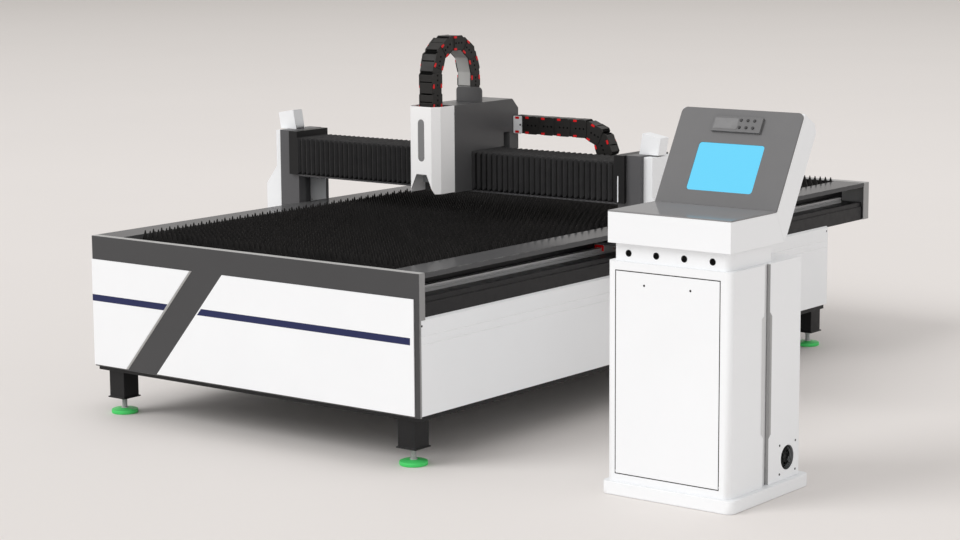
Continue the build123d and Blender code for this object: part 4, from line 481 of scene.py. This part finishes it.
# Slat bed: blades with sharp teeth
def slat_bed():
    count, teeth, half_length, half_thickness = 69, 50, 848.0, 2
    first_y, last_y = 170, 3976
    foot, root, shoulder, tip = 780, 864, 868, 905
    tooth = ((0, root), (0.1, shoulder), (0.47, tip), (0.53, tip), (0.9, shoulder))
    pitch = 2 * half_length / teeth
    outline = [(-half_length, foot), (half_length, foot)]
    for index in range(teeth):
        right = half_length - index * pitch
        outline += [(right - share * pitch, z) for share, z in tooth]
    outline.append((-half_length, root))
    form = Form()
    for index in range(count):
        y = first_y + (last_y - first_y) * index / (count - 1)
        form.prism(outline, y - half_thickness, y + half_thickness, along_y)
    bed = form.piece("slat_bed", [DARK_STEEL])
    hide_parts("slats")
    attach(bed, "table")


# Racks with their teeth
def racks():
    count, tooth_depth = 320, 6
    front, rear, low, high = 41.0, 4006.0, 852.0, 877.0
    inner_x, outer_x = 955, 985
    tooth = ((0.05, tooth_depth), (0.3, 0), (0.7, 0), (0.95, tooth_depth))
    pitch = (rear - front) / count
    outline = [(rear, high), (front, high)]
    for index in range(count):
        y = front + index * pitch
        outline += [(y + share * pitch, low + rise) for share, rise in tooth]
    form = Form()
    for side in SIDES:
        form.prism(outline, side * inner_x, side * outer_x, along_x)
    piece = form.piece("toothed_racks", [DARK_STEEL])
    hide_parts("long_racks")
    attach(piece, "table")


# Pieces that reach between two bodies; their transforms are baked
HALVINGS = 50


def share_of(weight):
    low, high = 0.0, 1.0
    for _ in range(HALVINGS):
        middle = (low + high) / 2
        if middle * middle * (3 - 2 * middle) < weight:
            low = middle
        else:
            high = middle
    return (low + high) / 2


def blend_between(piece, still, moving, first, last, first_weight, last_weight):
    """Works out the shares for first_weight and last_weight and the run from first to last, and bakes the piece's
    transform; no weights are given to the piece.
    """
    start_share = share_of(first_weight)
    end_share = share_of(last_weight)
    run = (Vector(last) - Vector(first)) / (end_share - start_share)
    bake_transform(piece)


def blend_even(piece):
    """Bakes the piece's transform."""
    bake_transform(piece)


# Bellows: cut at fold rings, closer together at the ends; each piece's weights between the gantry and the carriage are
# worked out, and its transform is baked
FOLD_CUTS = (0, 1, 2, 4, 8, 14, 22)


def bellows(node, x0, x1, weight0, weight1, folds):
    front, rear, low, high, corner, corner_steps = 1501, 1750, 1036, 1235, 7, 2
    depth, half_flat = 11.0, 0.16
    middle_y, middle_z = 1625, 1135
    ridge_kind, fold_shade_kind = 0, 1
    cuts = (*FOLD_CUTS, folds // 2, *[folds - fold for fold in reversed(FOLD_CUTS)])

    def x_at(fold):
        return x0 + (x1 - x0) * fold / folds

    def ring(x, inset):
        section = rounded(front + inset, rear - inset, low + inset, high - inset, corner, corner_steps)
        return [(x, y, z) for y, z in section]

    size = len(ring(x0, 0))
    for number, (first, last) in enumerate(zip(cuts, cuts[1:])):
        places = []
        for fold in range(first, last + 1):
            inset = depth * (fold % 2)
            before = 0 if fold == first else -half_flat
            after = 0 if fold == last else half_flat
            places += [(x_at(fold + before), inset), (x_at(fold + after), inset)]
        form = Form()
        form.add([point for place in places for point in ring(*place)], [], ridge_kind)
        for row in range(len(places) - 1):
            start = row * size
            form.faces += [
                (start + index, start + (index + 1) % size, start + size + (index + 1) % size, start + size + index)
                for index in range(size)
            ]
            # Faces that start in a valley take the painted shade
            form.kinds += [fold_shade_kind if places[row][1] else ridge_kind] * size
        piece = form.piece(node + "_fold_%02d" % (number + 1), [FABRIC, FOLD_SHADE])
        ends = [at(x_at(fold), middle_y, middle_z) for fold in (first, last)]
        weights = [weight0 + (weight1 - weight0) * fold / folds for fold in (first, last)]
        blend_between(piece, "gantry", "carriage", *ends, *weights)
        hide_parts(node)


# Drag chains. A link's parts are in millimetres and, where a name says share, in shares of its length
CHAIN_MATERIALS = [CHAIN, RED, HOLE, COVER]
CHAIN_BODY, CHAIN_CLIP, CHAIN_HOLE_SHADE, CHAIN_COVER = range(len(CHAIN_MATERIALS))
PLATE_CORNER, PLATE_DEPTH, LAP, LAP_SHARE = 12.0, 6, 9.0, 0.12
OUTER_PLATE_SHARE, INNER_PLATE_SHARE = 0.34, 0.55
INNER_PLATE_DROP, INNER_PLATE_NEAR, INNER_PLATE_FAR = 2.5, 3, 11
CLIP_SHARE, CLIP_LENGTH, CLIP_EDGE, CLIP_INNER = 0.3, 22, 2, 13
CLIP_CORNER, CLIP_PROUD, CLIP_SUNK = 2, 0.9, 2
PIN_SHARES, PIN_RADIUS, PIN_SIDES, PIN_PROUD, PIN_SUNK = (0.46, 0.7, 0.94), 5.4, 12, 0.4, 1
# Bars across the outer face: from and to shares, then how far below that face they start and end
OUTER_BARS, OUTER_BAR_CORNER, OUTER_BAR_INSET = ((0.04, 0.58, 7, 0), (0.62, 0.98, 6, 1.5)), 2, 4
CORE_SHARES, CORE_LOW, CORE_HIGH, CORE_CORNER, CORE_INSET = (-0.08, 1.08), 17, 8, 1, 7
COVER_SHARES, INNER_BAR_SHARES = (0.02, 0.98), (0.2, 0.8)
INNER_BAR_DEPTH, INNER_BAR_CORNER, INNER_BAR_INSET = 5, 1.5, 7


def chain_link(form, start, end, side, thickness, width, covered):
    """One link: lapped side plates, cross bars, red clips and pin holes, in the plane of the chain."""
    origin = Vector(start)
    along = Vector(end) - origin
    length = along.length
    along.normalize()
    outward = Vector(side).cross(along)
    half = thickness / 2

    def place(u, v, w):
        return tuple(origin + along * u + outward * v + Vector(side) * w)

    def plate(u0, u1, reach, w0, w1):
        cut = min(PLATE_CORNER, reach / 2)
        outline = [
            (u0 + cut, -reach), (u1 - cut, -reach), (u1, -reach + cut), (u1, reach - cut), (u1 - cut, reach),
            (u0 + cut, reach), (u0, reach - cut), (u0, -reach + cut),
        ]
        form.prism(outline, w0, w1, place)

    def bar(shares, low, high, corner, inset, kind):
        outline = rounded(shares[0] * length, shares[1] * length, low, high, corner, 1)
        form.prism(outline, inset, width - inset, place, kind)

    lap = min(LAP, length * LAP_SHARE)
    for face, inward in ((0, 1), (width, -1)):
        plate(OUTER_PLATE_SHARE * length, length + lap, half, face, face + inward * PLATE_DEPTH)
        near, far = face + inward * INNER_PLATE_NEAR, face + inward * INNER_PLATE_FAR
        plate(-lap, INNER_PLATE_SHARE * length, half - INNER_PLATE_DROP, near, far)
        clip_start = CLIP_SHARE * length
        for low, high in ((half - CLIP_INNER, half - CLIP_EDGE), (-half + CLIP_EDGE, -half + CLIP_INNER)):
            clip = rounded(clip_start, clip_start + CLIP_LENGTH, low, high, CLIP_CORNER, 1)
            form.prism(clip, face - inward * CLIP_PROUD, face + inward * CLIP_SUNK, place, CHAIN_CLIP)
        for share in PIN_SHARES:
            pin = circle(share * length, 0, PIN_RADIUS, PIN_SIDES)
            form.prism(pin, face - inward * PIN_PROUD, face + inward * PIN_SUNK, place, CHAIN_HOLE_SHADE)
    for first, last, low, high in OUTER_BARS:
        bar((first, last), half - low, half - high, OUTER_BAR_CORNER, OUTER_BAR_INSET, CHAIN_BODY)
    # The core between the side plates takes the holes' painted shadow
    bar(CORE_SHARES, half - CORE_LOW, half - CORE_HIGH, CORE_CORNER, CORE_INSET, CHAIN_HOLE_SHADE)
    shares, kind = (COVER_SHARES, CHAIN_COVER) if covered else (INNER_BAR_SHARES, CHAIN_BODY)
    bar(shares, -half, -half + INNER_BAR_DEPTH, INNER_BAR_CORNER, INNER_BAR_INSET, kind)


def arch_chain():
    """Front leg, bend and rear leg: the legs' links are pieces of their own, each with its weights, and the bend is
    one piece, all with their transforms baked.
    """
    front_y, rear_y, bend_z = 1321.5, 1631.0, 1630.0
    front_leg_z, rear_leg_z = (1430.0, 1530.0), (1552.5, 1475.0)
    side_x, middle_x, thickness, width = -5.0, 40, 75.0, 90.0
    bend_links, first_covered = 5, 5
    leg_weights = {0: (1.0, 0.75), 1: (0.75, 0.5), 7: (0.5, 0.25), 8: (0.25, 0.0)}
    radius = (rear_y - front_y) / 2
    middle_y = front_y + radius
    outline = [(front_y, z) for z in front_leg_z]
    outline += arc((middle_y, bend_z), radius, 180, -180, bend_links)
    outline += [(rear_y, z) for z in rear_leg_z]
    path = [(side_x, y, z) for y, z in outline]
    bend = Form()
    for index, (start, end) in enumerate(zip(path, path[1:])):
        turns = index not in leg_weights
        form = bend if turns else Form()
        chain_link(form, start, end, (1, 0, 0), thickness, width, index >= first_covered)
        if turns:
            continue
        piece = form.piece("arch_chain_link_%02d" % (index + 1), CHAIN_MATERIALS)
        blend_between(piece, "carriage", "torch_head", at(*start), at(*end), *leg_weights[index])
        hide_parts("arch_chain")
    piece = bend.piece("arch_chain_bend", CHAIN_MATERIALS)
    blend_even(piece)
    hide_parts("arch_chain")


def run_chain():
    """Upper run, bend and lower run: the runs' links are pieces of their own, each with its weights, and the bend is
    one piece, all with their transforms baked.
    """
    start_x, bend_x, end_x, high, low = 206.0, 608.0, 100.0, 1342.0, 1092.0
    rear_y, thickness, width = 1920.0, 92.0, 70.0
    upper, turning, lower = 4, 4, 5
    bend_weight = 0.5
    middle_z = (high + low) / 2
    outline = [(start_x + (bend_x - start_x) * index / upper, high) for index in range(upper)]
    outline += arc((bend_x, middle_z), (high - low) / 2, 90, -180, turning)
    outline += [(bend_x - (bend_x - end_x) * (index + 1) / lower, low) for index in range(lower)]
    path = [(x, rear_y, z) for x, z in outline]
    bend = Form()
    for index, (start, end) in enumerate(zip(path, path[1:])):
        turns = upper <= index < upper + turning
        form = bend if turns else Form()
        chain_link(form, start, end, (0, -1, 0), thickness, width, False)
        if turns:
            continue
        piece = form.piece("run_chain_link_%02d" % (index + 1), CHAIN_MATERIALS)
        if index < upper:
            weights = [1 - bend_weight * place / upper for place in (index, index + 1)]
        else:
            first = index - upper - turning
            weights = [bend_weight - bend_weight * place / lower for place in (first, first + 1)]
        blend_between(piece, "gantry", "carriage", at(*start), at(*end), *weights)
        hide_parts("run_chain")
    piece = bend.piece("run_chain_bend", CHAIN_MATERIALS)
    blend_even(piece)
    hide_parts("run_chain")


def chain_end():
    """The pale end fitting that joins the running chain to the carriage."""
    plate_x, plate_z, plate_corner, plate_thickness = (160, 214), (1297, 1387), 5, 3
    clip_x, clip_z, clip_corner, clip_front = (172, 196), ((1300, 1312), (1372, 1384)), 2, 1848.2
    pin_x, pin_z, pin_front = 204, 1342, 1848.7
    pin_radius, pin_sides, sunk_y = 5, 12, 1850
    form = Form()
    for y in (1849.2, 1917.0):
        form.prism(rounded(*plate_x, *plate_z, plate_corner, 2), y, y + plate_thickness, along_y)
    for span in clip_z:
        form.prism(rounded(*clip_x, *span, clip_corner, 1), clip_front, sunk_y, along_y, 1)
    form.prism(circle(pin_x, pin_z, pin_radius, pin_sides), pin_front, sunk_y, along_y, 2)
    piece = form.piece("run_chain_end", [WHITE, RED, HOLE])
    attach(piece, "carriage")


# Levelling feet: profiles are (radius, height) pairs
LEGS = [(side * 920.0, y) for side in SIDES for y in (83.0, 3583.0)]
PAD_PROFILE = [
    (60, 0), (64, 1.5), (65, 4), (65, 15), (63.5, 18.5), (59, 20.5), (34, 22), (29, 24.4), (26, 25), (12, 25),
]
COLLAR_PROFILE = [(18, 25), (18, 28), (16, 30.5), (13, 31)]
NUT_RADIUS, NUT_FOOT, NUT_TOP = 17.3, 68, 77
NUT_CHAMFER, WASHER = [(14.5, 67), (15, NUT_FOOT)], [(20, NUT_TOP), (20, 79)]


def thread_profile():
    shank, root, crest = 12, 11.6, 13
    foot, first, last, top = 25, 26.0, 66, 67
    pitch, rise, fall = 2.4, 0.9, 1.5
    profile = [(shank, foot)]
    z = first
    while z < last:
        profile += [(root, z), (crest, z + rise), (crest, z + fall)]
        z += pitch
    return profile + [(shank, top)]


def feet():
    pad_sides, stud_sides, smooth = 48, 24, 35
    pads = Form()
    studs = Form()
    for leg in LEGS:
        pads.turned(PAD_PROFILE, leg, pad_sides)
        studs.turned(thread_profile(), leg, stud_sides)
        studs.prism(circle(*leg, NUT_RADIUS, 6), NUT_FOOT, NUT_TOP)
        for profile in (NUT_CHAMFER, WASHER, COLLAR_PROFILE):
            studs.turned(profile, leg, stud_sides)
    pads_piece = pads.piece("levelling_pads", [GREEN], smooth)
    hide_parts("foot_pads")
    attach(pads_piece, "table")
    studs_piece = studs.piece("levelling_studs", [STEEL], smooth)
    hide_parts("foot_studs")
    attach(studs_piece, "table")


# Front: navy stripes in the white panels, and beside the grey band the white panel's folded edge in a pale grey,
# painted shade on that white edge
PANEL_FRONT = -6.0


def stripes():
    high, low, lean = 594, 562, 27
    left, left_end, right_start, right = -1029, -514, -293, 980
    proud, sunk = 0.4, 0.2
    form = Form()
    for outline in (
        [(left, high), (left_end, high), (left_end - lean, low), (left, low)],
        [(right_start, high), (right, high), (right, low), (right_start - lean, low)],
    ):
        form.prism(outline, PANEL_FRONT - proud, PANEL_FRONT + sunk, along_y)
    piece = form.piece("front_stripes", [NAVY])
    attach(piece, "table")


def folded_edge():
    top, bottom = (-364.0, 768.0), (-810.0, 243.0)
    width, back = 11.0, -0.2
    points = []
    for x, z in (top, bottom):
        points += [(x, PANEL_FRONT, z), (x + width, back, z), (x, back, z)]
    form = Form()
    form.add(points, [(0, 1, 2), (3, 5, 4), (0, 3, 4, 1), (1, 4, 5, 2), (2, 5, 3, 0)], 0)
    piece = form.piece("panel_folded_edge", [WHITE_EDGE_SHADE])
    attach(piece, "table")


# Torch head: the insert in the housing's slot, and the torch from nozzle to body
TORCH_NOZZLE = [(2.2, 1046.4), (4.5, 1046), (6, 1048), (6, 1060), (5.4, 1062)]
TORCH_SHIELD = [(8.5, 1062), (11, 1066), (11, 1088), (10.4, 1092)]
TORCH_BODY = [
    (13, 1092), (15, 1094), (15, 1110), (13.8, 1111), (13.8, 1114), (15, 1115), (15, 1190), (14.4, 1200),
    (14.4, 1274), (12, 1276),
]


def torch_head():
    slot_x, slot_z, slot_corner, slot_steps = (40.6, 79.4), (1201.6, 1411.4), 19.2, 10
    insert_front, insert_back = 1216.4, 1217.6
    axis, sides, smooth = (60.0, 1300.0), 28, 40
    body_kind, brass_kind = 0, 1
    form = Form()
    form.prism(rounded(*slot_x, *slot_z, slot_corner, slot_steps), insert_front, insert_back, along_y)
    insert = form.piece("torch_slot_insert", [SLOT_GREY])
    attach(insert, "torch_head")
    body = Form()
    for profile, kind in ((TORCH_NOZZLE, brass_kind), (TORCH_SHIELD, brass_kind), (TORCH_BODY, body_kind)):
        body.turned(profile, axis, sides, kind=kind)
    torch = body.piece("cutting_torch", [BLACK, BRASS], smooth)
    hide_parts("torch")
    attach(torch, "torch_head")


# Gantry details: red end seals on the guide blocks, a white strip on the bellows frame painting the light seen through
# a slit there, liners in the posts
def block_seals():
    block_fronts, block_length, thickness = (1534.0, 1670.0), 80, 3
    outline = [
        (893, 787), (904, 787), (904, 805), (936, 805), (936, 787), (947, 787), (947, 812), (942, 817), (898, 817),
        (893, 812),
    ]
    form = Form()
    for side in SIDES:
        for front in block_fronts:
            for y in (front - thickness, front + block_length):
                form.prism(mirrored(outline, side), y, y + thickness, along_y)
    piece = form.piece("block_seals", [RED])
    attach(piece, "gantry")


def frame_slit_painted_light():
    slit_x, slit_z, corner, steps = (1047, 1053), (1039, 1167), 2.5, 3
    front, back = 1500.4, 1501.6
    form = Form()
    # A white plate, painted where the light shows through the slit
    form.prism(rounded(*slit_x, *slit_z, corner, steps), front, back, along_y)
    piece = form.piece("frame_slit_painted_light", [WHITE])
    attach(piece, "gantry")


def post_liners():
    liner_x, liner_z, corner, steps = (1041, 1153), (853, 1021), 3, 2
    front, back = 1742.4, 1744.8
    screw, screw_x, screw_z, screw_sides = [(5, 1742.6), (5, 1740.6), (3.6, 1739.8)], (1052, 1142), (868, 1006), 16
    smooth = 30
    form = Form()
    for side in SIDES:
        form.prism(mirrored(rounded(*liner_x, *liner_z, corner, steps), side), front, back, along_y)
        for x in screw_x:
            for z in screw_z:
                form.turned(screw, (side * x, z), screw_sides, along_y, 1)
    piece = form.piece("post_liners", [WHITE, STEEL], smooth)
    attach(piece, "gantry")


# Side panels: small round holes near both ends
def panel_holes():
    places, radius, sides = ((16.0, 649.0), (3584.0, 655.0)), 5, 16
    inner_x, outer_x = 1029.6, 1030.3
    form = Form()
    for side in SIDES:
        for y, z in places:
            form.prism(circle(y, z, radius, sides), side * inner_x, side * outer_x, along_x)
    piece = form.piece("side_panel_holes", [HOLE])
    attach(piece, "table")


# Console: round keys and the small display beside them, on the leaning head
KEY_PROFILE = [(6.4, 6), (6.5, 6.4), (6.5, 14.8), (5.9, 15.7), (4.9, 16), (3.2, 15.6), (0.6, 15.4)]


def keys():
    rows, columns, first_x, first_height, spacing = 2, 3, 2232, 359, 33
    sides, smooth = 28, 40
    for index in range(rows * columns):
        row, column = divmod(index, columns)
        number = index + 1
        form = Form()
        form.turned(KEY_PROFILE, (first_x + spacing * column, first_height + spacing * row), sides, on_head)
        piece = form.piece("round_key_%d" % number, [KEY], smooth)
        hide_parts("key_%d" % number)
        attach(piece, "key_%d" % number)


def key_box_display():
    span_x, span_height, corner, steps = (2102, 2220), (350, 400), 3, 2
    back, front = 11.8, 12.4
    form = Form()
    form.prism(rounded(*span_x, *span_height, corner, steps), back, front, on_head)
    piece = form.piece("key_box_display", [READOUT])
    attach(piece, "table")


# Console: rims in the neck's four holes, with a dark disc behind each
def neck_hole_rims():
    count, first_x, spacing, z, sides, smooth = 4, 1997.5, 137, 1035, 24, 30
    rim = [(13.4, 198), (14.6, 195.4), (14.6, 195), (12.2, 195), (11.8, 198), (13.4, 198)]
    disc_radius, disc_front, disc_back = 13.2, 198.5, 200
    form = Form()
    for index in range(count):
        x = first_x + spacing * index
        form.turned(rim, (x, z), sides, along_y)
        form.prism(circle(x, z, disc_radius, sides), disc_front, disc_back, along_y, 1)
    piece = form.piece("neck_hole_rims", [BLACK, HOLE], smooth)
    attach(piece, "table")


# Console: painted shade in the seam of the rear shell on its right side: grey plates laid on its white walls, on the
# cabinet's lip and in the grip's recess, where shade falls
def seam_painted_shade():
    bottom, top = 60, 996
    strip = [(2490.2, 489.4), (2505.6, 489.4), (2505.6, 490.9), (2490.2, 490.9)]
    step = [(2490.1, 486.4), (2492.6, 486.4), (2492.6, 489.4), (2490.1, 489.4)]
    lip_rear, lip_front, lip_grip = 486.4, 474, 450
    lip = [
        (lip_rear, bottom), (lip_rear, top), (lip_front, top), (lip_front, 794), (lip_grip, 776), (lip_grip, 288),
        (lip_front, 258), (lip_front, bottom),
    ]
    grip = [(490, 258), (507, 275), (507, 778), (490, 796)]
    lip_x, grip_x = (2489.8, 2490.4), (2505.8, 2506.4)
    seam_shade_kind, step_shade_kind, lip_shade_kind = 0, 1, 2
    form = Form()
    # All three plates are painted shade on white walls: the grey wall strip, the slot grey step in the corner and the
    # light grey lip
    form.prism(strip, bottom, top, kind=seam_shade_kind)
    form.prism(step, bottom, top, kind=step_shade_kind)
    form.prism(lip, *lip_x, along_x, lip_shade_kind)
    form.prism(grip, *grip_x, along_x, seam_shade_kind)
    piece = form.piece("seam_painted_shade", [SEAM_SHADE, SLOT_GREY, LIP_SHADE])
    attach(piece, "table")


# Console: the door's two small locks with their key slots
def door_locks():
    lock = [(4.9, 184), (4.9, 181.2), (4.2, 180.6), (2.5, 180.8)]
    z, sides, smooth = 908, 20, 30
    slot_reach, slot_rise, slot_front, slot_back = 2.2, 0.6, 180.4, 181
    form = Form()
    for x in (2084, 2311):
        form.turned(lock, (x, z), sides, along_y)
        left, right, low, high = x - slot_reach, x + slot_reach, z - slot_rise, z + slot_rise
        form.prism([(left, low), (right, low), (right, high), (left, high)], slot_front, slot_back, along_y, 1)
    piece = form.piece("door_locks", [BLACK, HOLE], smooth)
    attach(piece, "console_door")


# Console: the vent's fan behind a grille of rings and spokes, with four screws around it
def vent_fan():
    face_x, middle_y, middle_z, smooth = 2506.0, 648, 149, 30
    middle = (middle_y, middle_z)
    blade_step, blade_depths = 51, (-22, -19)
    blade_corners = ((14, -0.25), (48, -0.1), (50, 0.35), (14, 0.3))
    hub, hub_sides = [(16, -26), (16, -14), (12, -12)], 24
    back, back_sides = [(58, -30), (58, -29)], 32
    ring_radii, ring_sides, ring_half, ring_depth, wire_half = (20, 34, 48), 40, 1.6, -9, 1
    spoke_angles, spoke_depths = (45, 135, 225, 315), (-11, -9)
    spoke_corners = ((8, -1.2), (52, -1.2), (52, 1.2), (8, 1.2))
    screw, screw_y, screw_z, screw_sides = [(5, -0.4), (5, 0.9), (3.6, 1.5)], (583, 713), (86, 211), 16
    fan_kind, dark_kind = 0, 1

    def outward(u, v, w):
        return (face_x + w, u, v)

    form = Form()
    for angle in range(0, 360, blade_step):
        turn = math.radians(angle)
        blade = [
            (middle_y + radius * math.cos(turn + lead), middle_z + radius * math.sin(turn + lead))
            for radius, lead in blade_corners
        ]
        form.prism(blade, *blade_depths, outward, fan_kind)
    form.turned(hub, middle, hub_sides, outward, fan_kind)
    form.turned(back, middle, back_sides, outward, dark_kind)
    for radius in ring_radii:
        ring = [
            (radius, ring_depth + wire_half), (radius + ring_half, ring_depth), (radius, ring_depth - wire_half),
            (radius - ring_half, ring_depth), (radius, ring_depth + wire_half),
        ]
        form.turned(ring, middle, ring_sides, outward, fan_kind)
    for angle in spoke_angles:
        turn = math.radians(angle)
        aside = turn + math.pi / 2
        spoke = [
            (
                middle_y + radius * math.cos(turn) + offset * math.cos(aside),
                middle_z + radius * math.sin(turn) + offset * math.sin(aside),
            )
            for radius, offset in spoke_corners
        ]
        form.prism(spoke, *spoke_depths, outward, fan_kind)
    for y in screw_y:
        for z in screw_z:
            form.turned(screw, (y, z), screw_sides, outward, fan_kind)
    piece = form.piece("vent_fan", [BLACK, HOLE], smooth)
    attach(piece, "table")


# Studio: a wide pale floor whose colour darkens far away, painted shade for the light that falls off there, a pale
# world and two soft suns from the front
FLOOR_REACH, FLOOR_SPECULAR = 160.0, 0.15
FLOOR_NEAR_COLOUR, FLOOR_FAR_COLOUR = srgb(233, 229, 226), srgb(190, 186, 182)
FLOOR_FADE_START, FLOOR_FADE_END = 9.0, 55.0
WORLD_COLOUR, WORLD_STRENGTH = srgb(252, 250, 249), 0.74
BACKDROP_COLOUR, BACKDROP_STRENGTH = srgb(232, 228, 225), 1.0
SUNS = (("key", 1.15, (0.52, 0.78, -0.72)), ("fill", 0.4, (-0.61, 0.79, -0.12)))
SUN_DEGREES = 34


def floor():
    mesh = bpy.data.meshes.new("floor")
    corners = [(-1, -1), (1, -1), (1, 1), (-1, 1)]
    mesh.from_pydata([(x * FLOOR_REACH, y * FLOOR_REACH, 0) for x, y in corners], [], [(0, 1, 2, 3)])
    piece = bpy.data.objects.new("floor", mesh)
    bpy.context.scene.collection.objects.link(piece)
    look = surface(
        "floor_paint", FLOOR_NEAR_COLOUR, 0.75, shade=0.008, shade_scale=0.3, grain=0.02, grain_scale=60,
        specular=FLOOR_SPECULAR,
    )
    tree = look.node_tree
    shader = tree.nodes["Principled BSDF"]
    places = tree.nodes["Texture Coordinate"].outputs["Object"]
    away = wire(tree, "ShaderNodeVectorMath", {0: places}, operation="LENGTH").outputs["Value"]
    near = shader.inputs["Base Color"].links[0].from_socket
    # Painted shade: the floor's colour darkens with distance
    fade = spread(tree, away, 0.0, 1.0, FLOOR_FADE_START, FLOOR_FADE_END)
    tree.links.new(mix_colour(tree, fade, near, FLOOR_FAR_COLOUR), shader.inputs["Base Color"])
    mesh.materials.append(look)


def sky():
    """Lights the scene evenly; the camera, metal and glass see the backdrop's colour instead."""
    world = bpy.data.worlds.new("studio")
    bpy.context.scene.world = world
    world.use_nodes = True
    tree = world.node_tree
    light = tree.nodes["Background"]
    light.inputs["Color"].default_value = (*WORLD_COLOUR, 1)
    light.inputs["Strength"].default_value = WORLD_STRENGTH
    seen = wire(tree, "ShaderNodeBackground", {"Color": (*BACKDROP_COLOUR, 1), "Strength": BACKDROP_STRENGTH})
    rays = wire(tree, "ShaderNodeLightPath")
    direct = rays.outputs["Is Camera Ray"]
    for kind in ("Is Glossy Ray", "Is Transmission Ray"):
        direct = wire(tree, "ShaderNodeMath", {0: direct, 1: rays.outputs[kind]}, operation="MAXIMUM").outputs["Value"]
    both = wire(tree, "ShaderNodeMixShader", {0: direct, 1: light.outputs[0], 2: seen.outputs[0]})
    tree.links.new(both.outputs[0], tree.nodes["World Output"].inputs["Surface"])


def suns():
    for name, energy, aim in SUNS:
        sun = bpy.data.lights.new(name, "SUN")
        sun.energy = energy
        sun.angle = math.radians(SUN_DEGREES)
        holder = bpy.data.objects.new(name, sun)
        holder.rotation_euler = Vector(aim).to_track_quat("-Z", "Y").to_euler()
        bpy.context.scene.collection.objects.link(holder)


# Camera fitted to the photograph: yaw, pitch and roll in degrees, place in metres, lens in millimetres
CAMERA_DEGREES = (-37.71, -9.02, -0.37)
CAMERA_PLACE = (6.8426, -9.9122, 2.5134)
CAMERA_LENS, CAMERA_SENSOR, CAMERA_CLIP_END = 88.67, 36.0, 400


def camera():
    yaw, pitch, roll = (math.radians(value) for value in CAMERA_DEGREES)
    ahead = Vector((math.sin(yaw) * math.cos(pitch), math.cos(yaw) * math.cos(pitch), math.sin(pitch)))
    level = Vector((math.cos(yaw), -math.sin(yaw), 0))
    upright = level.cross(ahead)
    right = level * math.cos(roll) + upright * math.sin(roll)
    up = upright * math.cos(roll) - level * math.sin(roll)
    data = bpy.data.cameras.new("photo_view")
    data.sensor_fit = "HORIZONTAL"
    data.sensor_width = CAMERA_SENSOR
    data.lens = CAMERA_LENS
    data.dof.use_dof = False
    data.clip_end = CAMERA_CLIP_END
    holder = bpy.data.objects.new("photo_view", data)
    turned = Matrix((right, up, -ahead)).transposed().to_4x4()
    holder.matrix_world = Matrix.Translation(Vector(CAMERA_PLACE)) @ turned
    bpy.context.scene.collection.objects.link(holder)
    bpy.context.scene.camera = holder


dress()
door_gap_shade()
slat_bed()
racks()
bellows("bellows_left", -1028.0, -37.0, 0.0, 1.0, 60)
bellows("bellows_right", 157.0, 1028.0, 1.0, 0.0, 52)
arch_chain()
run_chain()
chain_end()
feet()
stripes()
folded_edge()
torch_head()
block_seals()
frame_slit_painted_light()
post_liners()
panel_holes()
keys()
key_box_display()
neck_hole_rims()
seam_painted_shade()
door_locks()
vent_fan()
floor()
sky()
suns()
camera()
bpy.context.scene.view_settings.view_transform = "Standard"
